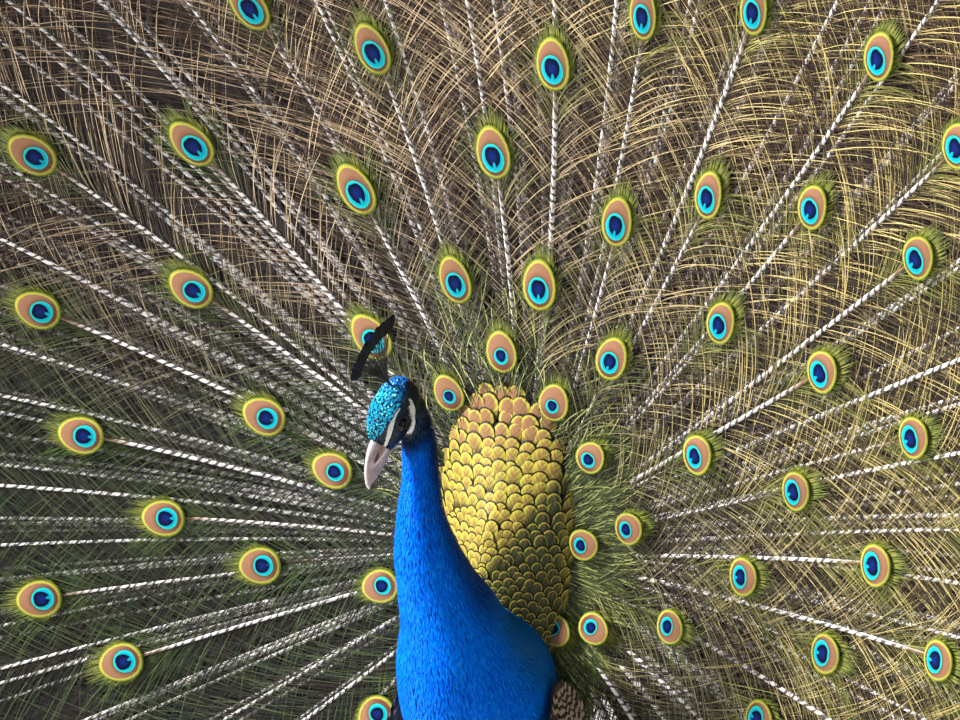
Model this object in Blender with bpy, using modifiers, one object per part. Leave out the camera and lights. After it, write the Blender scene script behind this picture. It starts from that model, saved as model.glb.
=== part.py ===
"""A life-size Indian peacock in display: train fanned and dished forward, neck raised, head bowed.

Metres, +Z up, standing on Z = 0. The bird faces -Y, and +X is its left side.
"""
from math import atan2, cos, pi, radians, sin, sqrt, tau

import bmesh
import bpy
from mathutils import Matrix, Vector

# ---- driving dimensions ------------------------------------------------------------------------
GAP = 0.0004                      # clearance between neighbouring pieces
BODY_CLEARANCE = 0.0015           # between the body and what lies on its curved skin
BOX_SHIFT = 0.044                 # moves the bird so that its box is centred over the origin

FAN_CENTRE = Vector((0, 0.12, 0.56))   # where the train's shafts converge
FAN_RADIUS = 1.19                 # reach of the longest train feathers, seen from the front
FAN_HALF_ANGLE = radians(150)     # from straight up to the lowest feather on each side
FAN_DISH = 0.34                   # forward sweep of the train: depth = dish * radius squared
FAN_SECTORS = 15
FAN_ROOT_RADIUS = 0.075
TRAIN_THICKNESS = 0.0022
TRAIN_CLEARANCE = 0.035           # lowest feathers above the floor
BODY_WINDOW = (0.068, 0.104, 0.388)  # half width, half height and height of the train's gap for the body

VENT_AT = (0, 0.214, 0.385)
VENT_RADII = (0.064, 0.060, 0.078)

TAIL_LENGTH = 0.42                # stiff tail feathers that prop the train from behind
TAIL_HALF_ANGLE = radians(58)
TAIL_OFFSET = 0.014
TAIL_THICKNESS = 0.003

HEAD_AT = Vector((-0.026, -0.136, 0.758))  # midway between the eyes
HEAD_HEADING = radians(30)        # turned to the bird's right
HEAD_PITCH = radians(58)          # bowed down
HEAD_ROLL = radians(-17)          # crown tipped to its left
EYE_RADIUS = 0.0078
EYE_SPREAD = 0.0145               # eyeball centre from the head's middle plane
CREST_ROOT = (-0.030, 0.0215)     # along the head, and up
CREST_LENGTH = 0.067
CREST_ANGLES = (radians(76), radians(140))

FOOT_SPREAD = 0.057               # each foot from the middle plane
FOOT_Y = 0.050
STAGGER = 0.012                   # the left foot stands this far ahead, the right one behind
ANKLE_HEIGHT = 0.022
HOCK = (0.055, 0.096, 0.175)
TOE_RADIUS = 0.0066
TOE_AXIS_HEIGHT = 0.0056          # lower than the radius, so each toe stands on a narrow flat
# name, heading outward from straight ahead in degrees, length
TOES = (("1", 158, 0.030), ("2", -33, 0.056), ("3", 4, 0.076), ("4", 34, 0.062))

# Spine stations from the nape down the neck and through the trunk to the raised rump:
# x, y, z, half width, half depth
SPINE = (
    (-0.016, -0.1110, 0.775, 0.0150, 0.0150),
    (-0.0115, -0.0990, 0.735, 0.0180, 0.0190),
    (-0.010, -0.0960, 0.690, 0.0200, 0.0205),
    (-0.010, -0.0960, 0.650, 0.0255, 0.0265),
    (-0.009, -0.0860, 0.610, 0.0338, 0.0350),
    (-0.005, -0.0700, 0.570, 0.0415, 0.0440),
    (0.000, -0.0500, 0.528, 0.0520, 0.0590),
    (0.000, -0.0260, 0.478, 0.0670, 0.0780),
    (0.000, 0.0110, 0.433, 0.0770, 0.0960),
    (0.000, 0.0600, 0.400, 0.0730, 0.0990),
    (0.000, 0.1120, 0.388, 0.0590, 0.0930),
    (0.000, 0.1600, 0.397, 0.0550, 0.0800),
    (0.000, 0.1980, 0.428, 0.0500, 0.0600),
    (0.000, 0.2120, 0.472, 0.0400, 0.0400),
    (0.000, 0.2010, 0.530, 0.0320, 0.0290),
    (0.000, 0.1680, 0.600, 0.0230, 0.0120),
)
# Body nodes, from and to these station numbers
BODY_NODES = (
    ("neck_upper", 1.15, 3.0),
    ("neck_middle", 3.0, 5.0),
    ("neck_lower", 5.0, 6.6),
    ("breast", 6.6, 8.4),
    ("trunk", 8.4, 11.2),
    ("rump", 11.2, 15.0),
)

COLOURS = {
    "blue": (0.01, 0.09, 0.55, 0.5),
    "turquoise": (0.02, 0.45, 0.75, 0.5),
    "gold": (0.45, 0.38, 0.05, 0.45),
    "train": (0.16, 0.13, 0.04, 0.6),
    "horn": (0.42, 0.34, 0.31, 0.4),
    "claw": (0.10, 0.08, 0.07, 0.4),
    "leg": (0.28, 0.24, 0.20, 0.6),
    "eye": (0.03, 0.015, 0.01, 0.1),
    "barred": (0.55, 0.42, 0.26, 0.7),
    "rufous": (0.42, 0.17, 0.06, 0.7),
    "down": (0.35, 0.31, 0.26, 0.9),
    "thigh": (0.50, 0.38, 0.24, 0.8),
    "tail": (0.20, 0.15, 0.11, 0.7),
    "crest": (0.01, 0.04, 0.14, 0.5),
}


# ---- helpers -----------------------------------------------------------------------------------
def clear_scene():
    for obj in list(bpy.data.objects):
        bpy.data.objects.remove(obj, do_unlink=True)


def collection(name):
    made = bpy.data.collections.new(name)
    bpy.context.scene.collection.children.link(made)
    return made


clear_scene()
PARTS = collection("peacock")
CUTTERS = collection("cutters")
STANCE = bpy.data.objects.new("stance", None)
STANCE.location = (0, BOX_SHIFT, 0)
PARTS.objects.link(STANCE)


def material(key):
    found = bpy.data.materials.get(key)
    if found:
        return found
    made = bpy.data.materials.new(key)
    made.use_nodes = True
    shader = made.node_tree.nodes["Principled BSDF"]
    red, green, blue, rough = COLOURS[key]
    shader.inputs["Base Color"].default_value = (red, green, blue, 1)
    shader.inputs["Roughness"].default_value = rough
    shader.inputs["Metallic"].default_value = 0
    return made


def place(name, bm, colour, cutter=False):
    """Makes the mesh an object: a node of the peacock, or a hidden cutter."""
    bmesh.ops.recalc_face_normals(bm, faces=bm.faces)
    mesh = bpy.data.meshes.new(name)
    bm.to_mesh(mesh)
    bm.free()
    mesh.shade_smooth()
    mesh.materials.append(material(colour))
    obj = bpy.data.objects.new(name, mesh)
    (CUTTERS if cutter else PARTS).objects.link(obj)
    obj.parent = STANCE
    obj.hide_render = cutter
    if cutter:
        obj.display_type = "WIRE"
    return obj


def boolean(obj, other, operation):
    modifier = obj.modifiers.new(operation.lower(), "BOOLEAN")
    modifier.operation = operation
    modifier.object = other
    modifier.solver = "EXACT"


def solidify(obj, thickness, offset):
    modifier = obj.modifiers.new("thickness", "SOLIDIFY")
    modifier.thickness = thickness
    modifier.offset = offset


def ring(bm, centre, side, up, half_width, above, below, count):
    """An egg-shaped ring of points: half_width to each side, above and below its centre."""
    made = []
    for i in range(count):
        turn = tau * i / count
        height = sin(turn) * (above if sin(turn) > 0 else below)
        made.append(bm.verts.new(centre + side * (half_width * cos(turn)) + up * height))
    return made


def join_rings(bm, rings):
    """A closed skin over a row of rings, capped at both ends."""
    for first, second in zip(rings, rings[1:]):
        count = len(first)
        for i in range(count):
            j = (i + 1) % count
            bm.faces.new((first[i], first[j], second[j], second[i]))
    bm.faces.new(rings[0])
    bm.faces.new(rings[-1])


def grid_sheet(bm, rows):
    """An open sheet over rows of positions."""
    verts = [[bm.verts.new(point) for point in row] for row in rows]
    for first, second in zip(verts, verts[1:]):
        for i in range(len(first) - 1):
            bm.faces.new((first[i], first[i + 1], second[i + 1], second[i]))


def lerp(a, b, t):
    return a + (b - a) * t


def bezier(a, b, c, t):
    """A point on the quadratic curve from a to c, pulled towards b."""
    return tuple((1 - t) ** 2 * p + 2 * t * (1 - t) * q + t * t * r for p, q, r in zip(a, b, c))


# ---- body: neck, breast, trunk and rump --------------------------------------------------------
def spine(s):
    """The station at number s, read from a smooth curve through the stations."""
    last = len(SPINE) - 1
    i = min(int(s), last - 1)
    t = s - i
    p0, p1, p2, p3 = (SPINE[min(max(k, 0), last)] for k in (i - 1, i, i + 1, i + 2))
    return [
        0.5 * (2 * b + (c - a) * t + (2 * a - 5 * b + 4 * c - d) * t**2 + (3 * b - a - 3 * c + d) * t**3)
        for a, b, c, d in zip(p0, p1, p2, p3)
    ]


def spine_ring(bm, s, grow=0.0, count=18):
    x, y, z, half_width, half_depth = spine(s)
    ahead = Vector(spine(min(s + 0.05, len(SPINE) - 1.0))[:3])
    behind = Vector(spine(max(s - 0.05, 0.0))[:3])
    along = (ahead - behind).normalized()
    side = Vector((1, 0, 0))
    up = side.cross(along).normalized()
    depth = half_depth + grow
    return ring(bm, Vector((x, y, z)), side, up, half_width + grow, depth, depth, count)


def station_gap(s):
    """Half the gap between two body nodes, counted in stations."""
    step = Vector(spine(s + 0.05)[:3]) - Vector(spine(s - 0.05)[:3])
    return 0.5 * GAP * 0.1 / step.length


def body_segment(name, start, end, cutter=False, grow=0.0):
    rings = 2 + round((end - start) * (4 if cutter else 2))
    first = start + (0 if cutter else station_gap(start))
    last = end - (station_gap(end) if end < len(SPINE) - 1 else 0)
    bm = bmesh.new()
    loops = [spine_ring(bm, lerp(first, last, i / rings), grow) for i in range(rings + 1)]
    join_rings(bm, loops)
    return place(name, bm, "blue", cutter)


# ---- head --------------------------------------------------------------------------------------
def head_axes():
    """The head's forward, up and left directions."""
    level = Vector((-sin(HEAD_HEADING), -cos(HEAD_HEADING), 0))
    forward = level * cos(HEAD_PITCH) - Vector((0, 0, 1)) * sin(HEAD_PITCH)
    left = Vector((0, 0, 1)).cross(level)
    left = Matrix.Rotation(HEAD_ROLL, 3, forward) @ left
    return forward, left.cross(-forward).normalized(), left


HEAD_FORWARD, HEAD_UP, HEAD_LEFT = head_axes()


def head_point(forward, up, left=0.0):
    return HEAD_AT + HEAD_FORWARD * forward + HEAD_UP * up + HEAD_LEFT * left


def head_loft(bm, stations, count, middle):
    """Rings across the head's length. A station is: along, half width, top, bottom."""
    rings = []
    for along, half_width, top, bottom in stations:
        centre = lerp(bottom, top, middle)
        centre_at = head_point(along, centre)
        rings.append(ring(bm, centre_at, HEAD_LEFT, HEAD_UP, half_width, top - centre, centre - bottom, count))
    join_rings(bm, rings)


def head():
    skull = (
        (-0.0460, 0.0060, 0.0060, -0.0080),
        (-0.0415, 0.0125, 0.0155, -0.0160),
        (-0.0320, 0.0175, 0.0222, -0.0215),
        (-0.0180, 0.0205, 0.0258, -0.0240),
        (-0.0040, 0.0210, 0.0265, -0.0250),
        (0.0080, 0.0195, 0.0240, -0.0242),
        (0.0180, 0.0156, 0.0180, -0.0222),
        (0.0270, 0.0102, 0.0098, -0.0198),
    )
    bm = bmesh.new()
    head_loft(bm, skull, 20, 0.5)
    made = place("head", bm, "turquoise")
    bm = bmesh.new()
    stub = [spine_ring(bm, s, 0.0, 16) for s in (0.05, 0.4, 0.8, 1.15 - station_gap(1.15))]
    join_rings(bm, stub)
    boolean(made, place("cut_nape", bm, "blue", cutter=True), "UNION")
    for side, name in ((1, "left"), (-1, "right")):
        socket = eyeball("cut_socket_" + name, side, EYE_RADIUS + GAP, cutter=True)
        boolean(made, socket, "DIFFERENCE")


def eyeball(name, side, radius, cutter=False):
    bm = bmesh.new()
    bmesh.ops.create_uvsphere(bm, u_segments=14, v_segments=8, radius=radius)
    bmesh.ops.translate(bm, verts=bm.verts, vec=head_point(0.0, 0.001, side * EYE_SPREAD))
    return place(name, bm, "eye", cutter)


def bill():
    base = 0.0270 + GAP
    upper = (
        (base, 0.0098, 0.0094, -0.0145),
        (0.0370, 0.0082, 0.0082, -0.0154),
        (0.0480, 0.0062, 0.0042, -0.0165),
        (0.0580, 0.0044, -0.0022, -0.0176),
        (0.0660, 0.0027, -0.0096, -0.0188),
        (0.0705, 0.0013, -0.0158, -0.0204),
        (0.0718, 0.0004, -0.0190, -0.0212),
    )
    lower = tuple(
        (along, half_width * 0.88, bottom - GAP, bottom - GAP - depth)
        for (along, half_width, top, bottom), depth in zip(upper[:4], (0.0050, 0.0048, 0.0040, 0.0030))
    ) + ((0.0640, 0.0016, -0.0188, -0.0206),)
    bm = bmesh.new()
    head_loft(bm, upper, 12, 0.2)
    place("bill_upper", bm, "horn")
    bm = bmesh.new()
    head_loft(bm, lower, 12, 0.7)
    place("bill_lower", bm, "horn")


def crest():
    """The quills and their spread tips as one thin fan in the head's middle plane."""
    columns = 7
    reach = ((0.0, 0.003), (0.35, 0.008), (0.68, 0.014), (0.82, 0.0), (1.0, 0.0))
    bm = bmesh.new()
    rows = []
    for share, _ in reach:
        row = []
        for i in range(columns + 1):
            t = i / columns
            angle = lerp(CREST_ANGLES[0], CREST_ANGLES[1], t)
            notch = 0.94 if share == 1.0 and i % 2 else 1.0
            out = 0.006 + share * CREST_LENGTH * notch
            narrow = 0.25 + 0.75 * share
            angle = lerp(0.5 * sum(CREST_ANGLES), angle, narrow)
            row.append(head_point(CREST_ROOT[0] + out * cos(angle), CREST_ROOT[1] + out * sin(angle)))
        rows.append(row)
    grid_sheet(bm, rows)
    solidify(place("crest", bm, "crest"), 0.0024, 0)


# ---- train, tail and back shield ---------------------------------------------------------------
def dish(theta, radius, behind=0.0):
    """A point of the train's dished front, at an angle from straight up and a radius."""
    depth = FAN_DISH * radius * radius
    return FAN_CENTRE + Vector((radius * sin(theta), behind - depth, radius * cos(theta)))


def train_root(theta):
    """Where the train starts: close to its centre, or where it clears the body and the wings."""
    half_width, half_height, height = BODY_WINDOW
    rise = (FAN_CENTRE.z - height) / half_height
    across, down = sin(theta) / half_width, cos(theta) / half_height
    a, b, c = across**2 + down**2, down * rise, rise * rise - 1
    inside = b * b - a * c
    if inside < 0:
        return FAN_ROOT_RADIUS
    return max(FAN_ROOT_RADIUS, (sqrt(inside) - b) / a)


def train_reach(theta):
    """The train's outer radius, shorter where the lowest feathers would meet the floor."""
    drop = -cos(theta)
    if drop <= 0.01:
        return FAN_RADIUS
    room = (FAN_CENTRE.z - TRAIN_CLEARANCE) / drop
    return 1 / (FAN_RADIUS**-8 + room**-8) ** 0.125


def train():
    columns, rows = 4, 6
    width = 2 * FAN_HALF_ANGLE / FAN_SECTORS
    for sector in range(FAN_SECTORS):
        start = -FAN_HALF_ANGLE + sector * width
        sheet = []
        for k in range(rows + 1):
            line = []
            for i in range(columns + 1):
                theta = start + width * i / columns
                outer = train_reach(theta)
                if k == rows and i % 2 == 0:
                    outer *= 0.982
                radius = lerp(train_root(theta), outer, k / rows)
                margin = {0: GAP / radius, columns: -GAP / radius}.get(i, 0.0)
                line.append(dish(theta + margin, radius))
            sheet.append(line)
        bm = bmesh.new()
        grid_sheet(bm, sheet)
        made = place(f"train_{sector:02d}", bm, "train")
        face_forward(made)
        solidify(made, TRAIN_THICKNESS, -1)


def face_forward(obj):
    """Turns a sheet's faces to the front, so that its thickness grows backwards."""
    bm = bmesh.new()
    bm.from_mesh(obj.data)
    if sum(face.normal.y for face in bm.faces) > 0:
        bmesh.ops.reverse_faces(bm, faces=bm.faces)
    bm.to_mesh(obj.data)
    bm.free()


def tail():
    columns, rows = 16, 4
    sheet = []
    for k in range(rows + 1):
        line = []
        for i in range(columns + 1):
            theta = lerp(-TAIL_HALF_ANGLE, TAIL_HALF_ANGLE, i / columns)
            outer = TAIL_LENGTH * (0.86 + 0.14 * cos(theta * 1.4))
            if k == rows and i % 2 == 0:
                outer *= 0.97
            line.append(dish(theta, lerp(0.062, outer, k / rows), TAIL_OFFSET))
        sheet.append(line)
    bm = bmesh.new()
    grid_sheet(bm, sheet)
    made = place("tail", bm, "tail")
    face_forward(made)
    solidify(made, TAIL_THICKNESS, -1)


SHIELD_TOP, SHIELD_BOTTOM = 0.745, 0.390
SHIELD_HALF_WIDTH = 0.079


def shield_edge(turn):
    """The egg-shaped outline of the golden shield, as offsets from the fan's centre line."""
    middle = 0.60
    reach = SHIELD_TOP - middle if sin(turn) > 0 else middle - SHIELD_BOTTOM
    return SHIELD_HALF_WIDTH * cos(turn), middle + reach * sin(turn)


def shield_depth(height, inward):
    """How far the shield stands in front of the train, at a height and a share in from its edge."""
    slope = min(max((SHIELD_TOP - height) / (SHIELD_TOP - 0.48), 0.0), 1.0)
    return 0.0025 + lerp(0.012, 0.092, slope**0.9) * inward**0.55


def back_shield(cutter):
    count, steps = 20, 5
    bm = bmesh.new()
    front, back = [], []
    for k in range(steps):
        share = 1 - (k / steps) ** 1.3
        for layer, forward in ((front, True), (back, False)):
            loop = []
            for i in range(count):
                x, z = shield_edge(tau * i / count)
                x, z = x * share, lerp(0.60, z, share)
                dz = z - FAN_CENTRE.z
                y = FAN_CENTRE.y - FAN_DISH * (x * x + dz * dz) - 0.003
                if forward:
                    y -= shield_depth(z, 1 - share)
                loop.append(bm.verts.new((x, y, z)))
            layer.append(loop)
    join_rings(bm, list(reversed(back)) + front)
    made = place("back_shield", bm, "gold")
    boolean(made, cutter, "DIFFERENCE")


def vent(cutter):
    """The soft down under the raised tail."""
    bm = bmesh.new()
    bmesh.ops.create_uvsphere(bm, u_segments=16, v_segments=10, radius=1)
    bmesh.ops.scale(bm, verts=bm.verts, vec=VENT_RADII)
    bmesh.ops.translate(bm, verts=bm.verts, vec=VENT_AT)
    boolean(place("vent", bm, "down"), cutter, "DIFFERENCE")


# ---- wings -------------------------------------------------------------------------------------
def wing(side, name):
    """A drooped wing: barred coverts over the rufous flight feathers."""
    columns, rows = 5, 6
    sheet = []
    for k in range(rows + 1):
        down = k / rows
        front = bezier((0.036, 0.437), (-0.080, 0.300), (0.006, 0.205), down)
        rear = bezier((0.050, 0.440), (0.130, 0.345), (0.190, 0.200), down)
        line = []
        for i in range(columns + 1):
            across = i / columns
            y, z = lerp(front[0], rear[0], across), lerp(front[1], rear[1], across)
            if k == rows and i % 2:
                z -= 0.010
            x = 0.0840 + 0.040 * down + 0.005 * sin(pi * across) * down
            line.append(Vector((side * x, y, z)))
        sheet.append(line)
    wing_sheet("wing_coverts_" + name, sheet, side, 0.0040, 1, "barred")
    columns, rows = 12, 4
    hub_y, hub_z, reach = 0.0, 0.350, 0.290
    sheet = []
    for k in range(rows + 1):
        line = []
        for i in range(columns + 1):
            angle = lerp(radians(-4), radians(46), i / columns)
            out = lerp(0.085, reach * (0.955 if k == rows and i % 2 == 0 else 1), k / rows)
            drop = out * cos(angle)
            x = 0.0980 + 0.045 * (drop / reach) ** 2
            line.append(Vector((side * x, hub_y + out * sin(angle), hub_z - drop)))
        sheet.append(line)
    wing_sheet("wing_flight_" + name, sheet, side, 0.0024, -1, "rufous")


def wing_sheet(name, sheet, side, thickness, offset, colour):
    bm = bmesh.new()
    grid_sheet(bm, sheet)
    made = place(name, bm, colour)
    bm = bmesh.new()
    bm.from_mesh(made.data)
    if sum(face.normal.x for face in bm.faces) * side < 0:
        bmesh.ops.reverse_faces(bm, faces=bm.faces)
    bm.to_mesh(made.data)
    bm.free()
    solidify(made, thickness, offset)


# ---- legs --------------------------------------------------------------------------------------
def leg(side, name, cutter):
    stagger = -STAGGER if side > 0 else STAGGER
    ankle = Vector((side * FOOT_SPREAD, FOOT_Y + stagger, ANKLE_HEIGHT))
    hock = Vector((side * HOCK[0], HOCK[1] + stagger * 0.6, HOCK[2]))
    thigh(side, name, hock, cutter)
    shank(name, hock, ankle)
    foot(side, name, ankle)


def level_tube(bm, points, count=12):
    """A tube through level rings. A point is: centre, half width, half depth."""
    x_axis, y_axis = Vector((1, 0, 0)), Vector((0, 1, 0))
    rings = [ring(bm, centre, x_axis, y_axis, wide, deep, deep, count) for centre, wide, deep in points]
    join_rings(bm, rings)


def thigh(side, name, hock, cutter):
    top = Vector((side * 0.050, 0.050, 0.370))
    shape = ((0.0, 0.030, 0.048), (0.3, 0.033, 0.050), (0.55, 0.027, 0.038), (0.8, 0.016, 0.022), (1.0, 0.010, 0.012))
    points = [(top.lerp(hock, t), wide, deep) for t, wide, deep in shape]
    bm = bmesh.new()
    level_tube(bm, points, 16)
    boolean(place("thigh_" + name, bm, "thigh"), cutter, "DIFFERENCE")


def shank(name, hock, ankle):
    start, end = hock - Vector((0, 0, GAP)), ankle + Vector((0, 0, GAP))
    shape = ((0.0, 0.0085, 0.0105), (0.08, 0.0088, 0.0100), (0.2, 0.0062, 0.0072), (0.85, 0.0056, 0.0066), (1.0, 0.0068, 0.0078))
    bm = bmesh.new()
    level_tube(bm, [(start.lerp(end, t), wide, deep) for t, wide, deep in shape])
    made = place("shank_" + name, bm, "leg")
    bm = bmesh.new()
    bmesh.ops.create_cone(bm, cap_ends=True, segments=8, radius1=0.0042, radius2=0.0006, depth=0.024)
    bmesh.ops.rotate(bm, verts=bm.verts, cent=(0, 0, 0), matrix=Matrix.Rotation(radians(-72), 3, "X"))
    bmesh.ops.translate(bm, verts=bm.verts, vec=end.lerp(start, 0.30) + Vector((0, 0.013, 0.003)))
    boolean(made, place("cut_spur_" + name, bm, "leg", cutter=True), "UNION")


def toe_direction(side, heading):
    turn = radians(heading)
    return Vector((side * sin(turn), -cos(turn), 0))


def foot(side, name, ankle):
    base = Vector((ankle.x, ankle.y, 0))
    bm = bmesh.new()
    level_tube(bm, (
        (ankle, 0.0068, 0.0078),
        (base + Vector((0, -0.001, 0.012)), 0.0085, 0.0100),
        (base + Vector((0, -0.002, 0.0)), 0.0100, 0.0115),
    ))
    made = place("foot_" + name, bm, "leg")
    for digit, heading, length in TOES:
        boolean(made, toe(side, name, base, digit, heading, length), "UNION")
        claw(side, name, base, digit, heading, length)


def toe(side, name, base, digit, heading, length):
    """One toe with its joint pads, cut flat along the floor."""
    along = toe_direction(side, heading)
    across, up = along.cross(Vector((0, 0, 1))), Vector((0, 0, 1))
    thickness = 0.85 if digit == "1" else 1.0
    shape = ((0.0, 0.98), (0.18, 1.0), (0.32, 0.84), (0.5, 0.95), (0.64, 0.76), (0.8, 0.84), (0.93, 0.66), (1.0, 0.45))
    bm = bmesh.new()
    rings = []
    for share, size in shape:
        radius = TOE_RADIUS * size * thickness
        centre = base + along * (length * share) + up * (TOE_AXIS_HEIGHT * lerp(1.0, 0.78, share))
        rings.append(ring(bm, centre, across, up, radius, radius, radius, 8))
    join_rings(bm, rings)
    everything = bm.verts[:] + bm.edges[:] + bm.faces[:]
    bmesh.ops.bisect_plane(bm, geom=everything, plane_co=(0, 0, 0), plane_no=(0, 0, 1), clear_inner=True)
    bmesh.ops.holes_fill(bm, edges=bm.edges[:], sides=0)
    return place(f"cut_toe_{name}_{digit}", bm, "leg", cutter=True)


def claw(side, name, base, digit, heading, length):
    along = toe_direction(side, heading)
    across, up = along.cross(Vector((0, 0, 1))), Vector((0, 0, 1))
    root = base + along * (length + GAP)
    bm = bmesh.new()
    rings = []
    for share, size in ((0.0, 0.0029), (0.35, 0.0026), (0.7, 0.0018), (1.0, 0.0006)):
        centre = root + along * (0.0145 * share) + up * (0.0048 + 0.0012 * sin(pi * share) - 0.0036 * share**2)
        rings.append(ring(bm, centre, across, up, size * 0.8, size, size * 0.7, 6))
    join_rings(bm, rings)
    place(f"claw_{name}_{digit}", bm, "claw")


# ---- the whole bird ----------------------------------------------------------------------------
def peacock():
    body_cutter = body_segment("cut_body", 6.0, 14.4, cutter=True, grow=BODY_CLEARANCE)
    for name, start, end in BODY_NODES:
        body_segment(name, start, end)
    head()
    for side, name in ((1, "left"), (-1, "right")):
        eyeball("eye_" + name, side, EYE_RADIUS)
        wing(side, name)
        leg(side, name, body_cutter)
    bill()
    crest()
    train()
    tail()
    back_shield(body_cutter)
    vent(body_cutter)


peacock()
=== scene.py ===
# %% [markdown]
# # A peacock in display, life size
# The solids that carry the bird are packed and fixed. This lesson dresses them: first a skin, then the
# bare bill, eyes and legs, and then the plumage, by far the greater part of a peacock. The frame is
# loaded first, because it gives every later step its sizes and places.

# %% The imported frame
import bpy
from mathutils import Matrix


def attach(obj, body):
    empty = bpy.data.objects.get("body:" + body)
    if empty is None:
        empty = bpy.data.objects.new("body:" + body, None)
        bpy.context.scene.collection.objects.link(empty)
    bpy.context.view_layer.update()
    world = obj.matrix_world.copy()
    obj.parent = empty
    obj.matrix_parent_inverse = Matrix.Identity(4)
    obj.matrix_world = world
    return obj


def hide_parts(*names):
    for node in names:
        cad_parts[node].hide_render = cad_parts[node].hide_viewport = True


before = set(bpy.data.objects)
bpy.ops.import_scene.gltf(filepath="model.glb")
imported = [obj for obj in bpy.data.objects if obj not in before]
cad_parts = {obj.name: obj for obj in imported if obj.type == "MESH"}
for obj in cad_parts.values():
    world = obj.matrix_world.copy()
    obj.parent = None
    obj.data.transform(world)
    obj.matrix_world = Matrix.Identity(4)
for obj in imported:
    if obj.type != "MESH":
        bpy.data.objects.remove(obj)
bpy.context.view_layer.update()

# %% [markdown]
# Besides Blender's own modules only numpy is needed: it places tens of thousands of barbs at once, where
# a Python loop would take minutes. One seeded source gives all the small irregularities, so each run
# makes the same bird.

# %% Modules and the seeded source of irregularity
from math import cos, pi, radians, sin, sqrt, tau

import bmesh
import bpy
import numpy as np
from mathutils import Matrix, Vector
from mathutils.bvhtree import BVHTree

chance = np.random.default_rng(7)
STANCE = np.array((0, 0.044, 0))        # the bird is modelled from here, and stands this far back
print("modules ready, the bird stands", STANCE[1], "m behind the origin")

# %% [markdown]
# A material is a small net of nodes. Written with links alone it is hard to read, so one class wraps a
# socket and lets sums be written as sums. Its `node` makes any other node: its type, its settings, and
# then the values or links of its sockets.

# %% Shader maths as expressions
def maths(kind, reflected=False):
    """A method for the class below that adds one Math node; a reflected one swaps its two values."""
    def method(self, *others):
        values = (*others, self) if reflected else (self, *others)
        return self.node("ShaderNodeMath", {"operation": kind}, **{f"i{k}": v for k, v in enumerate(values)})
    return method


class Wire:
    """A node's output socket, which can be used in an expression."""

    __add__, __radd__ = maths("ADD"), maths("ADD", True)
    __sub__, __rsub__ = maths("SUBTRACT"), maths("SUBTRACT", True)
    __mul__, __rmul__ = maths("MULTIPLY"), maths("MULTIPLY", True)
    __truediv__, __pow__ = maths("DIVIDE"), maths("POWER")
    __abs__, sine, root, most = (maths(kind) for kind in ("ABSOLUTE", "SINE", "SQRT", "MAXIMUM"))

    def __init__(self, tree, socket):
        self.tree, self.socket = tree, socket

    def node(self, kind, settings=None, output=0, **inputs):
        """Any node: its settings are set first, then its inputs, named or numbered as i0, i1 and so on."""
        made = self.tree.nodes.new(kind)
        for key, value in (settings or {}).items():
            setattr(made, key, value)
        for key, value in inputs.items():
            socket = made.inputs[int(key[1:]) if key[1:].isdigit() else key.replace("_", " ")]
            if isinstance(value, Wire):
                self.tree.links.new(value.socket, socket)
            else:
                socket.default_value = value
        return Wire(self.tree, made.outputs[output])

    def step(self, low, high):
        """0 below low, 1 above high, and a soft edge between; low above high turns it round."""
        return self.node("ShaderNodeMapRange", {"interpolation_type": "SMOOTHSTEP"}, i0=self, i1=low, i2=high)

    def tint(self, base, paint):
        """This wire as the share of paint laid over base. Both are colours or wires."""
        whole = {i: (v if isinstance(v, Wire) else (*v, 1)) for i, v in (("i6", base), ("i7", paint))}
        return self.node("ShaderNodeMix", {"data_type": "RGBA"}, 2, i0=self, **whole)

    def shade(self, strength):
        """This colour made darker or brighter by strength, a number or a wire."""
        return self.node("ShaderNodeVectorMath", {"operation": "SCALE"}, i0=self, Scale=strength)

    def parts(self):
        """The three numbers of a vector."""
        return [self.node("ShaderNodeSeparateXYZ", None, i, Vector=self) for i in range(3)]

    def stretched(self, *scale):
        return self.node("ShaderNodeVectorMath", {"operation": "MULTIPLY"}, i0=self, i1=scale)

    def noise(self, scale, detail=2.0):
        """Cloudy noise, 0 to 1, read at this place."""
        return self.node("ShaderNodeTexNoise", None, 0, Vector=self, Scale=scale, Detail=detail)


print("shader expressions ready")

# %% [markdown]
# Every finish starts from a Principled shader whose fixed numbers are set on its own sockets. A few
# helpers read places on the bird, or an attribute that the feathers carry, and lay one paint over
# another.

# %% A finish
def finish(name, paint, **numbers):
    """A material. paint(start) gives the wires of the sockets that change over the surface."""
    material = bpy.data.materials.new(name)
    material.use_nodes = True
    tree = material.node_tree
    shader = tree.nodes["Principled BSDF"]
    for key, value in numbers.items():
        shader.inputs[key.replace("_", " ")].default_value = value
    for key, wire in paint(Wire(tree, None)).items():
        tree.links.new(wire.socket, shader.inputs[key])
    return material


def place_of(start):
    """Object coordinates, which on every piece are the bird's own metres."""
    return start.node("ShaderNodeTexCoord", None, 3)


def carried(start, name):
    """A vector that each vertex carries."""
    return start.node("ShaderNodeAttribute", {"attribute_name": name}, 1)


def vane(start):
    """A point's place across its blade (-1 to 1), along it (0 to 1), and the blade's own lot (0 to 1)."""
    return carried(start, "vane").parts()


def tone_of(start):
    """The single number that a blade carries as its tone."""
    return carried(start, "tone").parts()[0]


def cloud(start, scale, detail):
    """Cloudy noise, 0 to 1, that is fixed to the bird."""
    return place_of(start).noise(scale, detail)


def coated(base, *coats):
    """A base under coats of paint, each given by its share and its colour."""
    for share, paint in coats:
        base = share.tint(base, paint)
    return base


def bumped(height, distance, strength=1.0):
    return height.node("ShaderNodeBump", None, 0, Height=height, Distance=distance, Strength=strength)


print("a finish is a Principled shader and its paint")

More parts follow.
